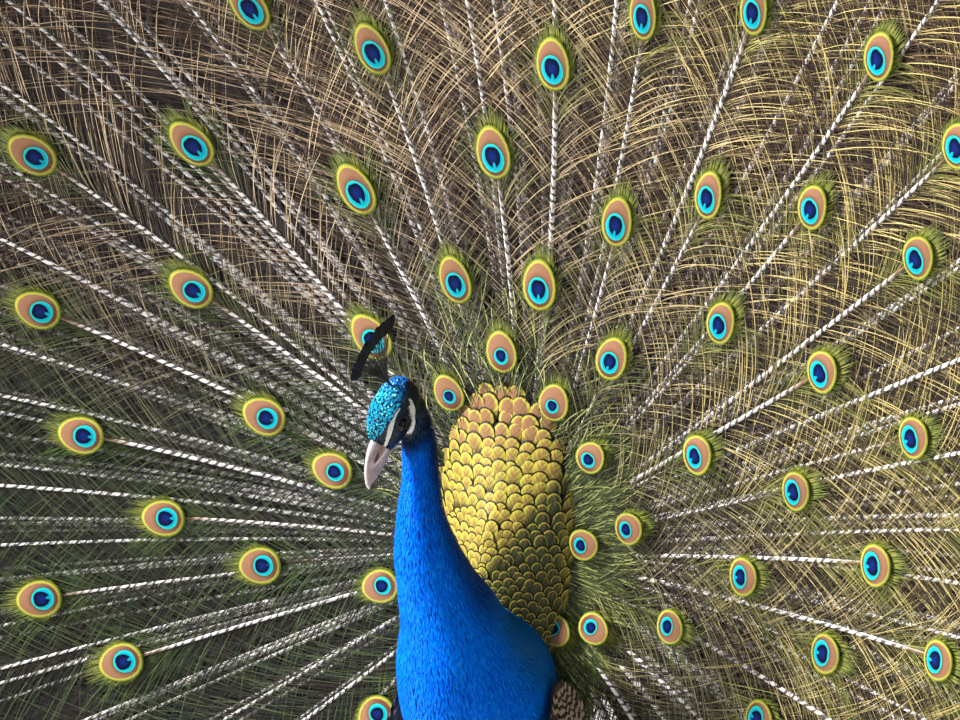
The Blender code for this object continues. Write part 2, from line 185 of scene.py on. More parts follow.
# %% [markdown]
# The camera looks a little down on the bird, from in front and to its left. A long lens keeps the fan's
# ring of eyes nearly even. Three directions turn it: to the right, up, and back.

# %% The camera
VIEW_AZIMUTH, VIEW_HEIGHT = radians(25), radians(12)
VIEW_TARGET = np.array((-0.0536, 0.1869, 0.7643))
VIEW_DISTANCE = 3.2
view_right = Vector((cos(VIEW_AZIMUTH), sin(VIEW_AZIMUTH), 0))


def towards(azimuth, height):
    """The direction to a place at an azimuth from the bird's front and a height above the horizon."""
    return Vector((sin(azimuth) * cos(height), -cos(azimuth) * cos(height), sin(height)))


view_back = towards(VIEW_AZIMUTH, VIEW_HEIGHT)
view_up = view_back.cross(view_right)


def aimed(right, up, back, location):
    """A matrix that stands a camera or a lamp at location, looking away from back."""
    turned = Matrix((right, up, back)).transposed().to_4x4()
    turned.translation = location
    return turned


def linked(name, data):
    """A new object of the scene, made from its data."""
    made = bpy.data.objects.new(name, data)
    bpy.context.scene.collection.objects.link(made)
    return made


lens = bpy.data.cameras.new("view")
lens.lens, lens.sensor_width = 108, 36
camera = linked("view", lens)
camera.matrix_world = aimed(view_right, view_up, view_back, Vector(VIEW_TARGET) + view_back * VIEW_DISTANCE)
bpy.context.scene.camera = camera
print("camera at", [round(v, 2) for v in camera.location])

# %% [markdown]
# One strong lamp from the upper left throws clear shadows; the neck's shadow on the lower golden back is
# painted into the scales. Weak wide lamps from the right and from behind and a pale sky fill the shadows.
# The floor is plain and pale.

# %% Floor and lights
def lamp(name, azimuth, height, distance, size, power, colour=(1, 1, 1)):
    """A soft square lamp that looks at the bird from an azimuth and a height above the horizon."""
    back = towards(azimuth, height)
    right = Vector((0, 0, 1)).cross(back).normalized()
    light = bpy.data.lights.new(name, "AREA")
    light.size, light.energy, light.color = size, power, colour
    linked(name, light).matrix_world = aimed(right, back.cross(right), back, Vector(VIEW_TARGET) + back * distance)


lamp("key_lamp", radians(-53), radians(35), 4.5, 0.6, 590, (1.0, 0.97, 0.93))
lamp("fill_lamp", radians(75), radians(25), 4.5, 3.0, 38, (0.92, 0.96, 1.0))
lamp("back_lamp", radians(190), radians(35), 4.5, 3.0, 110)

sky = bpy.data.worlds.new("sky")
sky.use_nodes = True
sky.node_tree.nodes["Background"].inputs[0].default_value = (0.8, 0.88, 1.0, 1)
sky.node_tree.nodes["Background"].inputs[1].default_value = 0.2
bpy.context.scene.world = sky
bpy.context.scene.view_settings.view_transform = "Standard"

ground = bmesh.new()
bmesh.ops.create_grid(ground, x_segments=1, y_segments=1, size=7)
floor_mesh = bpy.data.meshes.new("floor")
ground.to_mesh(floor_mesh)
ground.free()
floor_mesh.materials.append(finish("floor_plaster", lambda start: {
    "Base Color": place_of(start).noise(3.0).step(0.3, 0.7).tint((0.62, 0.61, 0.59), (0.66, 0.65, 0.63)),
}, Roughness=0.8))
linked("floor", floor_mesh)
print("floor and three lamps placed")

# %% [markdown]
# A feather, a barb and a tuft of down are all blades: narrow, thin, a little hollowed. Blender's grid
# gives one blade, and arrays of paths bend and place its copies. A particle system could do this too, but
# its hairs aren't mesh, so they would be lost when the bird is used elsewhere.

# %% One blade, and many blades from it
def blade(across, along):
    """A blade from a grid: its corners' places across it (-1 to 1), their rows, and its faces."""
    sheet = bmesh.new()
    bmesh.ops.create_grid(sheet, x_segments=across, y_segments=along, size=1)
    corners = np.array([corner.co for corner in sheet.verts])
    faces = np.array([[corner.index for corner in face.verts] for face in sheet.faces])
    sheet.free()
    return corners[:, 0], np.rint((corners[:, 1] + 1) / 2 * along).astype(int), faces


def even(count):
    """That many evenly spaced shares, from 0 to 1."""
    return np.linspace(0, 1, count)


def unit(vectors):
    """The same directions with length 1."""
    return vectors / np.maximum(np.linalg.norm(vectors, axis=-1, keepdims=True), 1e-12)


def smooth_step(value, low, high):
    """0 below low and 1 above high, with a soft edge, as the shader's own step."""
    share = np.clip((value - low) / (high - low), 0, 1)
    return share * share * (3 - 2 * share)


class Plumage:
    """Blades gathered from arrays, to be joined into one piece."""

    def __init__(self):
        self.batches, self.corners, self.faces = [], 0, 0

    def add(self, paths, sides, halves, patches, across=2, bulge=0.0, patch_size=0.0015, **carried):
        """Blades along paths (n, rows, 3); sides point across them; halves are half widths.

        patches (n, 2) place each blade on the unwrap; carried arrays (n,), (n, 3) or (n, rows, 3) ride along.
        """
        count, rows = paths.shape[:2]
        place, row, faces = blade(across, rows - 1)
        share = row / (rows - 1)
        sides = np.broadcast_to(sides, paths.shape)
        fronts = unit(np.cross(sides, np.gradient(paths, axis=1))) if bulge else 0 * sides
        reach = np.broadcast_to(halves, (count, rows))[:, row, None]
        corners = paths[:, row] + sides[:, row] * place[:, None] * reach
        corners = corners + fronts[:, row] * (bulge * (1 - place[:, None] ** 2)) * reach
        corners[..., 2] = np.maximum(corners[..., 2], 0.002)    # the lowest tips rest on the floor
        vane = np.empty((count, len(row), 3))
        vane[..., 0], vane[..., 1], vane[..., 2] = place, share, chance.random((count, 1))
        unwrap = patches[:, None] + np.stack((place, 2 * share - 1), -1) * patch_size
        values = {"vane": vane}
        for name, value in carried.items():
            value = np.asarray(value, float)
            value = value[:, row] if value.ndim == 3 else value.reshape(count, 1, -1)
            values[name] = np.broadcast_to(value, (count, len(row), 3))
        offsets = self.corners + len(row) * np.arange(count)
        self.batches.append((corners, faces[None] + offsets[:, None, None], unwrap[:, faces.ravel()], values))
        self.corners += count * len(row)
        self.faces += count * len(faces)
        return self

    def piece(self, name, material, slot, *nodes):
        """Joins the blades into one object of the bird."""
        corners, faces, unwrap = (
            np.concatenate([batch[k].reshape(-1, width) for batch in self.batches])
            for k, width in ((0, 3), (1, 4), (2, 2))
        )
        mesh = bpy.data.meshes.new(name)
        mesh.vertices.add(len(corners))
        mesh.vertices.foreach_set("co", (corners + STANCE).ravel())
        mesh.loops.add(faces.size)
        mesh.loops.foreach_set("vertex_index", faces.ravel())
        mesh.polygons.add(len(faces))
        mesh.polygons.foreach_set("loop_start", np.arange(len(faces)) * 4)
        mesh.update(calc_edges=True)
        mesh.shade_smooth()
        mesh.uv_layers.new(name="OFBake").data.foreach_set("uv", unwrap.ravel())
        for key in self.batches[0][3]:
            values = np.concatenate([batch[3][key].reshape(-1, 3) for batch in self.batches])
            mesh.attributes.new(key, "FLOAT_VECTOR", "POINT").data.foreach_set("vector", values.ravel())
        return dressed(name, mesh, material, slot, *nodes)


def dressed(name, mesh, material, slot, *nodes):
    """Makes a finished mesh an object that belongs to the bird and stands for the frame's solids named."""
    mesh.materials.append(material)
    made = linked(name, mesh)
    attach(made, "root")
    if nodes:
        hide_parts(*nodes)
    mesh.calc_loop_triangles()
    print(f"{name}: {len(mesh.loop_triangles)} triangles")
    return made


print("blade of 2 by 3:", len(blade(2, 3)[0]), "corners,", len(blade(2, 3)[2]), "faces")

# %% [markdown]
# The neck, the trunk and the bill are round in section, so each is a run of rings. A sheet is wrapped
# round them, welded where its edges meet and closed at its ends. Spinning a profile would give a straight
# form, and these bend.

# %% Rings and what is wrapped round them
def ring(centre, side, up, wide, above, below=None, count=32):
    """An egg-shaped ring of points round each centre."""
    turn = tau * np.arange(count) / count
    below = above if below is None else below
    wide, above, below = (np.asarray(reach)[..., None] for reach in (wide, above, below))
    rise = np.where(np.sin(turn) > 0, above, below) * np.sin(turn)
    return (centre[..., None, :] + (wide * np.cos(turn))[..., None] * side[..., None, :]
            + rise[..., None] * up[..., None, :])


def wrapped(rings):
    """A closed form through a run of rings (rows, around, 3)."""
    rows, around = rings.shape[:2]
    sheet = bmesh.new()
    bmesh.ops.create_grid(sheet, x_segments=around, y_segments=rows - 1, size=1)
    for corner in sheet.verts:
        column = round((corner.co.x + 1) / 2 * around) % around
        corner.co = rings[round((corner.co.y + 1) / 2 * (rows - 1)), column]
    bmesh.ops.remove_doubles(sheet, verts=sheet.verts, dist=1e-6)
    bmesh.ops.holes_fill(sheet, edges=sheet.edges, sides=0)
    bmesh.ops.recalc_face_normals(sheet, faces=sheet.faces)
    return sheet


def mesh_of(name, form):
    """The bmesh as a smooth mesh in the bird's stance."""
    bmesh.ops.translate(form, verts=form.verts, vec=STANCE)
    mesh = bpy.data.meshes.new(name)
    form.to_mesh(mesh)
    form.free()
    mesh.shade_smooth()
    return mesh


def shaped(name, form, *belongings):
    """The bmesh as a finished piece: its material and solids follow; its slot is not used."""
    return dressed(name, mesh_of(name, form), *belongings)


def joined(*forms):
    """Several bmeshes as one."""
    whole = forms[0]
    for form in forms[1:]:
        passing = bpy.data.meshes.new("passing")
        form.to_mesh(passing)
        form.free()
        whole.from_mesh(passing)
        bpy.data.meshes.remove(passing)
    return whole


print("rings wrap into closed forms")

# %% [markdown]
# The spine runs from the nape down the neck, through the trunk and up into the rump that carries the
# train. Sixteen stations give its place, half width and half depth, with a smooth curve between them. The
# same stations shaped the solids, so what is built on them fits.

# %% The spine
SPINE = np.array((
    # x, y, z, half width, half depth
    (-0.016, -0.111, 0.775, 0.015, 0.015),
    (-0.0115, -0.099, 0.735, 0.018, 0.019),
    (-0.01, -0.096, 0.69, 0.02, 0.0205),
    (-0.01, -0.096, 0.65, 0.0255, 0.0265),
    (-0.009, -0.086, 0.61, 0.0338, 0.035),
    (-0.005, -0.07, 0.57, 0.0415, 0.044),
    (0.000, -0.05, 0.528, 0.052, 0.059),
    (0.000, -0.026, 0.478, 0.067, 0.078),
    (0.000, 0.011, 0.433, 0.077, 0.096),
    (0.000, 0.06, 0.4, 0.073, 0.099),
    (0.000, 0.112, 0.388, 0.059, 0.093),
    (0.000, 0.16, 0.397, 0.055, 0.08),
    (0.000, 0.198, 0.428, 0.05, 0.06),
    (0.000, 0.212, 0.472, 0.04, 0.04),
    (0.000, 0.201, 0.53, 0.032, 0.029),
    (0.000, 0.168, 0.6, 0.023, 0.012),
))
X_AXIS, Y_AXIS, UP = np.eye(3)


def spine(s):
    """Centre, half width and half depth at station number s, read from a smooth curve."""
    last = len(SPINE) - 1
    i = np.minimum(np.asarray(s).astype(int), last - 1)
    t = (np.asarray(s) - i)[..., None]
    a, b, c, d = (SPINE[np.clip(i + k, 0, last)] for k in (-1, 0, 1, 2))
    read = 0.5 * (2 * b + (c - a) * t + (2 * a - 5 * b + 4 * c - d) * t**2 + (3 * b - a - 3 * c + d) * t**3)
    return read[..., :3], read[..., 3], read[..., 4]


def spine_up(s):
    """The direction to the bird's back at station s."""
    along = spine(np.minimum(s + 0.05, 15.0))[0] - spine(np.maximum(s - 0.05, 0.0))[0]
    return unit(np.cross(X_AXIS, unit(along)))


def body_point(s, turn, depth=0.0):
    """A point of the body's outside, or that far under it; turn runs from its left over its back."""
    centre, wide, deep = spine(s)
    level = (np.cos(turn) * (wide - depth))[..., None] * X_AXIS
    return centre + level + (np.sin(turn) * (deep - depth))[..., None] * spine_up(s)


def coat_depth(s):
    """How thick the plumage lies: thin on the neck, thicker on the breast and trunk."""
    return np.interp(s, (0, 1.5, 5, 7, 9), (0.0012, 0.0022, 0.0035, 0.005, 0.006))


spine_length = np.linalg.norm(np.diff(SPINE[:, :3], axis=0), axis=1).sum()
print("neck and trunk measure", round(float(spine_length), 3), "m")

# %% [markdown]
# The head is bowed, turned a little to the bird's right and tipped. Everything on it is placed by its own
# three directions, in millimetres forward, up and to the left of the point between the eyes.

# %% The head's own directions
HEAD_AT = np.array((-0.026, -0.136, 0.758))
HEAD_HEADING, HEAD_PITCH, HEAD_ROLL = radians(30), radians(58), radians(-17)
level = Vector((-sin(HEAD_HEADING), -cos(HEAD_HEADING), 0))
head_forward = level * cos(HEAD_PITCH) - Vector((0, 0, 1)) * sin(HEAD_PITCH)
head_left = Matrix.Rotation(HEAD_ROLL, 3, head_forward) @ Vector((0, 0, 1)).cross(level)
HEAD_AXES = np.array((head_forward, head_left.cross(-head_forward).normalized(), head_left))
EYE_RADIUS, EYE_UP, EYE_SPREAD = 7.8, 1.0, 14.5


def head_point(forward, up, left=0.0):
    """A place on the head, given in millimetres."""
    local = np.stack(np.broadcast_arrays(forward, up, left), -1) / 1000
    return HEAD_AT + local @ HEAD_AXES


def in_head(points):
    """Points in the head's millimetres: forward, up and left."""
    return (points - HEAD_AT) @ HEAD_AXES.T * 1000


def head_rings(stations, rows, count, middle):
    """Rings across the head's length, from stations of along, half width, top and bottom."""
    stations = np.array(stations)
    along = np.interp(even(rows), even(len(stations)), stations[:, 0])
    wide, top, bottom = (softened(along, stations[:, 0], stations[:, k]) for k in (1, 2, 3))
    centre = bottom + (top - bottom) * middle
    return ring(head_point(along, centre), HEAD_AXES[2], HEAD_AXES[1],
                wide / 1000, (top - centre) / 1000, (centre - bottom) / 1000, count)


def softened(at, places, values):
    """Values read from a smooth curve through a few uneven places."""
    slopes = np.gradient(values, places)
    i = np.clip(np.searchsorted(places, at) - 1, 0, len(places) - 2)
    gap = places[i + 1] - places[i]
    t = np.clip((at - places[i]) / gap, 0, 1)
    return (values[i] * (1 + 2 * t) * (1 - t) ** 2 + values[i + 1] * t * t * (3 - 2 * t)
            + gap * (slopes[i] * t * (1 - t) ** 2 - slopes[i + 1] * t * t * (1 - t)))


print("head forward", HEAD_AXES[0].round(2), "up", HEAD_AXES[1].round(2))

# %% [markdown]
# A peacock's face has two patches of bare white skin: a stripe from the bill over the eye, and a crescent
# below it. The crown is turquoise; the rest of the face and the nape are nearly black. One function says
# where each colour lies, and skin and feathers both carry its answer, so their markings agree.

# %% Where the markings lie
# Forward, up and half width in millimetres, along the middle of each bare patch
BROW_STRIPE = ((-13, 14.2, 0.9), (-7, 15.1, 1.3), (0, 14.6, 1.6), (5, 13.4, 2.2), (10, 11.4, 2.7),
               (15, 8.0, 2.5), (21, 3.9, 2.0), (26, 0.0, 2.0), (31, -2.8, 2.0))
CHEEK_CRESCENT = ((-26, 9.8, 2.8), (-24, 6.5, 4.6), (-19.2, 1.7, 6.2), (-15.4, -5.5, 6.8),
                  (-11.6, -11, 6.4), (-7, -17, 5.4), (-2, -21.5, 3.9), (4, -26, 2.2))


def beside(points, line):
    """How far outside a strip of varying half width each (forward, up) point lies, in millimetres."""
    line = np.array(line, float)
    found = np.full(len(points), 1e3)
    for (start, end) in zip(line[:-1], line[1:]):
        run = end[:2] - start[:2]
        share = np.clip((points - start[:2]) @ run / (run @ run), 0, 1)
        nearest = start[:2] + share[:, None] * run
        half = start[2] + share * (end[2] - start[2])
        found = np.minimum(found, np.linalg.norm(points - nearest, axis=1) - half)
    return found


def head_marks(points):
    """Shares of bare white skin, turquoise crown and black face, for points in the bird's metres."""
    local = in_head(points)
    forward, up, left = local.T
    flat = np.stack((forward, up), -1)
    bare = 1 - smooth_step(np.minimum(beside(flat, BROW_STRIPE), beside(flat, CHEEK_CRESCENT)), -0.5, 0.4)
    bare = bare * smooth_step(np.abs(left), 3.0, 5.0) * (forward > -30)
    edge = np.interp(forward, (-46, -39, -24, -13, 5, 14, 23, 27), (6, 13, 16.5, 16.2, 17.2, 14.6, 11.0, 7.5))
    crown = smooth_step(up - edge, -0.6, 0.8) * (forward > -47)
    reach = (forward + 36.6) * 0.63 + (up + 22.2) * 0.777
    far = np.linalg.norm(local + (8, 0, 0), axis=1)
    black = smooth_step(reach, -14, 8) * (1 - smooth_step(far, 38, 54))
    return np.stack((bare, crown * (1 - bare), black * (1 - bare) * (1 - crown)), -1)


def body_marks(points, s, turn):
    """Shares of teal mantle, dark belly and painted navy shade on the neck and body."""
    teal = smooth_step(s, 5.2, 6.6) * smooth_step(np.sin(turn), -0.35, 0.35)
    belly = smooth_step(s, 8.0, 9.8) * (1 - smooth_step(np.sin(turn), -0.5, 0.3))
    hind = np.maximum(smooth_step(s, 8.7, 9.7), smooth_step(points[..., 1], 0.11, 0.15))
    belly = np.maximum(belly, hind)    # the rump is as dark as the belly
    # Painted shade: the upper neck is painted navy on its back and on the bird's left, away from the key lamp, and
    # a band of it runs down the neck's left edge
    painted_navy_shade = (1 - smooth_step(s, 1.2, 3.6)) * smooth_step(0.75 * np.sin(turn) + 0.6 * np.cos(turn), -0.45, 0.55)
    shaded_left_edge = smooth_step(0.42 * np.sin(turn) + 0.9 * np.cos(turn), 0.45, 1.0)
    painted_navy_shade = np.maximum(painted_navy_shade, 0.72 * shaded_left_edge * (1 - smooth_step(s, 5.2, 6.4)))
    return np.stack((teal, belly, painted_navy_shade), -1)


print("white patches run", len(BROW_STRIPE), "and", len(CHEEK_CRESCENT), "points long")

# %% [markdown]
# Under the feathers lies one skin, inside the solids by the depth of the coat. Its parts overlap: the
# spine's run, the skull, the thighs and the soft ball under the tail.

# %% The skin's parts
SKULL = ((-46, 6.0, 6.0, -8.0), (-41.5, 12.5, 15.5, -16), (-32, 17.5, 22.2, -21.5), (-18, 20.5, 25.8, -24),
         (-4, 21, 26.5, -25), (8, 19.5, 24, -24.2), (18, 15.6, 18, -22.2), (27, 10.2, 9.8, -19.8))
HOCK_LEFT = np.array((0.055, 0.096 - 0.0072, 0.175))
HOCK_RIGHT = np.array((-0.055, 0.096 + 0.0072, 0.175))
THIGH = ((0, 0.03, 0.048), (0.3, 0.033, 0.05), (0.55, 0.027, 0.038), (0.8, 0.016, 0.022), (1, 0.01, 0.012))
VENT_AT, VENT_RADII = np.array((0, 0.214, 0.385)), np.array((0.064, 0.06, 0.078))


def read_table(table, at):
    """Every column of a table after its first, read where the first is at."""
    places, *columns = np.array(table).T
    return [np.interp(at, places, column) for column in columns]


def thigh_frame(share, side):
    """Centre, half width and half depth of a thigh, from its top to the hock."""
    top = np.array((side * 0.05, 0.05, 0.37))
    hock = HOCK_LEFT if side > 0 else HOCK_RIGHT
    return top + share[:, None] * (hock - top), *read_table(THIGH, share)


def skin_parts():
    stations = np.linspace(0.05, 15, 90)
    centre, wide, deep = spine(stations)
    depth = coat_depth(stations)
    yield wrapped(ring(centre, X_AXIS, spine_up(stations), wide - depth, deep - depth))
    skull = [(a, w - 0.9, t - 0.9, b + 0.9) for a, w, t, b in SKULL[:-1]]
    yield wrapped(head_rings([*skull, (27.2, 9.9, 9.5, -18.0)], 30, 40, 0.5))
    for side in (1, -1):
        centre, wide, deep = thigh_frame(even(24), side)
        wide, deep = np.maximum(wide - 0.005, 0.006), np.maximum(deep - 0.005, 0.007)
        yield wrapped(ring(centre, X_AXIS, Y_AXIS, wide, deep))
    ball = bmesh.new()
    bmesh.ops.create_uvsphere(ball, u_segments=32, v_segments=20, radius=1)
    bmesh.ops.scale(ball, verts=ball.verts, vec=VENT_RADII - 0.014)
    bmesh.ops.translate(ball, verts=ball.verts, vec=VENT_AT)
    yield ball


skin_mesh = bpy.data.meshes.new("skin")
joined(*skin_parts()).to_mesh(skin_mesh)
print("skin parts:", len(skin_mesh.vertices), "corners before they are melted together")

# %% [markdown]
# A voxel remesh melts the parts into one closed surface, where joining them would leave hard creases.
# Smoothing takes its steps out, and the head is divided more finely to take its folds.

# %% Melting them into one skin
melting = linked("melting", skin_mesh)
remesh = melting.modifiers.new("melt", "REMESH")
remesh.mode, remesh.voxel_size = "VOXEL", 0.0026
whole_skin = bmesh.new()
whole_skin.from_mesh(melting.evaluated_get(bpy.context.evaluated_depsgraph_get()).to_mesh())
bpy.data.objects.remove(melting)


def smoothed(corners, times):
    for _ in range(times):
        bmesh.ops.smooth_vert(
            whole_skin, verts=corners, factor=0.5, use_axis_x=True, use_axis_y=True, use_axis_z=True)


smoothed(whole_skin.verts, 4)
for _ in range(2):
    near = [edge for edge in whole_skin.edges
            if all(abs(n) < 36 for n in in_head(np.array((edge.verts[0].co + edge.verts[1].co) / 2)))]
    bmesh.ops.subdivide_edges(whole_skin, edges=near, cuts=1, use_grid_fill=True, smooth=0.5)
bmesh.ops.triangulate(whole_skin, faces=[face for face in whole_skin.faces if len(face.verts) > 4])
face_corners = [corner for corner in whole_skin.verts if (abs(in_head(np.array(corner.co))) < 40).all()]
smoothed(face_corners, 3)
whole_skin.normal_update()
print("one skin of", len(whole_skin.faces), "faces,", len(face_corners), "corners on the head")

# %% [markdown]
# The head gets the folds that a solid can't carry: a raised rim of lid round each eye, bare patches that
# stand a little proud and wrinkled, and a soft fold at the corner of the bill.

# %% Lids and folds
skin_places = np.array([corner.co for corner in whole_skin.verts])
skin_normals = np.array([corner.normal for corner in whole_skin.verts])
forward, up, left = in_head(skin_places).T
on_head = (np.abs(forward) < 45) & (np.abs(up) < 34) & (np.abs(left) < 30)
from_eye = np.hypot(forward * 0.92, (up - EYE_UP) * 0.94)
side_on = smooth_step(np.abs(left), 8, 12) * on_head
lid = 0.9 * np.exp(-((from_eye - 7.9) / 0.85) ** 2) + 0.35 * np.exp(-((from_eye - 10.3) / 0.7) ** 2)
socket = -3.2 * (1 - smooth_step(from_eye, 6.0, 7.2))
bare = head_marks(skin_places)[:, 0] * on_head
wrinkle = 0.1 * np.sin(forward * 2.6 + np.sin(up * 1.3)) * np.sin(up * 2.1)
BILL_CORNER = ((12, -13, 0), (20, -13.6, 0), (28, -13.5, 0))
fold = -0.5 * np.exp(-(beside(np.stack((forward, up), -1), BILL_CORNER) / 0.8) ** 2)
rise = (lid + socket) * side_on + bare * (0.55 + wrinkle) + fold * on_head
for corner, place, normal, height in zip(whole_skin.verts, skin_places, skin_normals, rise / 1000):
    corner.co = place + normal * height
print("lids rise", round(float((lid * side_on).max()), 2), "mm")

# %% [markdown]
# The skin is unwrapped by its own shape, and every tuft later takes its spot on this map from where its
# root stands. The nearest face to a root also says which way the surface looks.

# %% The skin's unwrap and its search tree
skin_mesh = mesh_of("skin", whole_skin)
skin_places = np.array([corner.co for corner in skin_mesh.vertices]) - STANCE
skin = linked("unwrapping", skin_mesh)
bpy.context.view_layer.objects.active = skin
skin.select_set(True)
skin_mesh.uv_layers.new(name="OFBake")
bpy.ops.object.mode_set(mode="EDIT")
bpy.ops.mesh.select_all(action="SELECT")
bpy.ops.uv.smart_project(angle_limit=radians(66), island_margin=0.004)
bpy.ops.object.mode_set(mode="OBJECT")
bpy.data.objects.remove(skin)

loop_uv = np.empty(len(skin_mesh.loops) * 2)
skin_mesh.uv_layers["OFBake"].data.foreach_get("uv", loop_uv)
loop_uv = loop_uv.reshape(-1, 2)
face_starts = np.array([face.loop_start for face in skin_mesh.polygons])
face_patches = loop_uv[face_starts]
skin_tree = BVHTree.FromPolygons(
    [tuple(place) for place in skin_places], [tuple(face.vertices) for face in skin_mesh.polygons])


def on_skin(points):
    """For each point, the nearest place on the skin, which way it looks, and its spot on the unwrap."""
    found = [skin_tree.find_nearest(Vector(point)) for point in points]
    places = np.array([hit[0] for hit in found])
    normals = np.array([hit[1] for hit in found])
    return places, normals, face_patches[[hit[2] for hit in found]]


spine_stations = np.linspace(0, 15, 301)
spine_line = spine(spine_stations)[0]


def nearest_station(points):
    """The station number and turn of places on the body."""
    best = np.array([np.argmin(((spine_line - point) ** 2).sum(1)) for point in points])
    s = spine_stations[best]
    away = points - spine_line[best]
    return s, np.arctan2((away * spine_up(s)).sum(1), away[:, 0])


skin_s, skin_turn = nearest_station(skin_places)
skin_shades = body_marks(skin_places, skin_s, skin_turn)
for name, values in (("marks", head_marks(skin_places)), ("shades", skin_shades)):
    skin_mesh.attributes.new(name, "FLOAT_VECTOR", "POINT").data.foreach_set("vector", values.ravel())
print("skin unwrapped and marked")

# %% [markdown]
# The train isn't the tail: it is more than two hundred long feathers of the lower back, raised into a fan
# and dished forward round the bird. Places on it are given in metres across and up from the hub where the
# shafts meet, and the dish's own curve gives the depth.

# %% The dish of the train
FAN_HUB = np.array((0, 0.12, 0.56))
FAN_RADIUS, FAN_DISH, FAN_HALF_ANGLE = 1.19, 0.34, radians(150)
FLOOR_CLEARANCE = 0.035


def dish(across, up, behind=0.0):
    """A place on the train, from metres across and up from the hub, and metres behind its front."""
    return np.stack(np.broadcast_arrays(
        across, FAN_HUB[1] + behind - FAN_DISH * (across**2 + up**2), FAN_HUB[2] + up), -1)


def train_reach(angle):
    """How far the train's feathers reach at an angle from straight up: shorter over the floor."""
    room = (FAN_HUB[2] - FLOOR_CLEARANCE) / np.maximum(-np.cos(angle), 0.01)
    return (FAN_RADIUS ** -8.0 + room ** -8.0) ** -0.125


print("the train reaches", round(float(train_reach(np.array(0.0))), 2), "m up,",
      round(float(train_reach(np.array(FAN_HALF_ANGLE))), 2), "m at its lowest")

# %% [markdown]
# Most train feathers carry one eye. The eyes stand in rings that step sideways from one to the next, as
# bricks do. The inner rings are listed one by one, angle from straight up and metres from the hub. Further
# out a lattice fills the fan, and keeps off the eyes already there.

# %% Where the eyes stand
EYE_RINGS = (
    ((-109.5, 0.17), (-71.5, 0.23), (-23, 0.19), (-2, 0.228), (16.5, 0.184), (39, 0.155), (72, 0.151),
     (76.5, 0.097), (106.5, 0.2), (124, 0.127), (141.5, 0.1)),
    ((-142, 0.264), (-98.5, 0.309), (-66, 0.323), (-35, 0.284), (-10.5, 0.311), (8, 0.311), (28, 0.265),
     (58, 0.262), (87.5, 0.277), (115, 0.332)),
    ((-89.5, 0.418), (-53, 0.461), (-22, 0.433), (0.5, 0.452), (20, 0.411), (41.5, 0.384), (71, 0.358),
     (98, 0.38)),
    ((-110, 0.496), (-79, 0.517), (-37.5, 0.562), (-12, 0.571), (9, 0.559), (30.5, 0.493), (56, 0.448),
     (83, 0.435)),
    ((-100, 0.569), (-65.5, 0.595), (-22.5, 0.652), (18, 0.642), (41, 0.561), (67.5, 0.513), (93.5, 0.508)),
    ((-50.5, 0.674), (27.5, 0.701), (51.5, 0.619), (38, 0.741)),
)
HAND_SET_LEFT, HAND_SET_RIGHT, HAND_SET_TOP, HAND_SET_BOTTOM = 0.47, -0.68, 0.7, -0.3
EYES_APART = 0.085


def eye_places():
    """Angle and distance of every eye, the listed ones first."""
    found = [(radians(angle), out) for ring_of_eyes in EYE_RINGS for angle, out in ring_of_eyes]
    for number, out in enumerate(np.arange(0.34, 1.15, 0.078)):
        step = radians(15.5 if out < 0.75 else 12.5)
        for angle in np.arange(-FAN_HALF_ANGLE + radians(3), FAN_HALF_ANGLE, step) + (number % 2) * step / 2:
            angle += chance.normal(0, 0.012)
            far = out + chance.normal(0, 0.01)
            across, up = far * sin(angle), far * cos(angle)
            hand_set = HAND_SET_RIGHT < across < HAND_SET_LEFT and HAND_SET_BOTTOM < up < HAND_SET_TOP
            apart = min(np.hypot(across - o * sin(a), up - o * cos(a)) for a, o in found)
            inside = abs(angle) < FAN_HALF_ANGLE - 0.03 and far < train_reach(angle) - 0.05
            if inside and not hand_set and apart > EYES_APART:
                found.append((angle, far))
    return np.array(found)


eyes_at = eye_places()
eye_angle, eye_out = eyes_at.T
# The eyes at the sides are rounder than those at the top, and those on the bird's left are narrower
side_share = smooth_step(np.abs(eye_angle), radians(18), radians(65))
eye_wide = np.interp(eye_out, (0.12, 0.28), (0.0158, 0.0196)) * chance.normal(1, 0.02, len(eyes_at))
eye_wide = eye_wide * (1 + 0.16 * side_share)
top_aspect = np.interp(eye_out, (0.16, 0.3), (1.18, 1.52))
eye_aspect = top_aspect + side_share * (np.where(eye_angle > 0, 1.03, 1.15) - top_aspect)
eye_long = eye_wide * eye_aspect
eye_squash = 1 - 0.26 * smooth_step(eye_out * np.sin(eye_angle), 0.06, 0.24)
print(len(eyes_at), "eyes, the largest", round(float(2000 * eye_long.max())), "mm long")

# %% [markdown]
# The longest feathers stand at the rim and end in a fishtail in place of an eye. Each shaft leaves the
# hub a little to one side of its line and bends into it. Short feathers lie in front of long ones, so
# each gets its own depth.

# %% The feathers of the train
# Once all round the fan, and once more on each side
FISH_ROWS = ((0.03 - FAN_HALF_ANGLE, FAN_HALF_ANGLE - 0.03, 38), (radians(-122), radians(-12), 22),
             (radians(14), radians(128), 16))
fish_angle = np.concatenate([np.linspace(*row) for row in FISH_ROWS])
FISHTAILS = len(fish_angle)
fish_angle = fish_angle + chance.normal(0, 0.012, FISHTAILS)
fish_out = train_reach(fish_angle) - 0.03
feather_angle = np.concatenate((eye_angle, fish_angle))
feather_out = np.concatenate((eye_out, fish_out))
feather_bend = chance.normal(0, 0.035, len(feather_angle))
feather_behind = np.interp(feather_out, (0.1, 0.35, 0.75, 1.15), (-0.016, -0.011, -0.003, 0.004))
feather_behind = feather_behind + chance.normal(0, 0.0012, len(feather_angle))
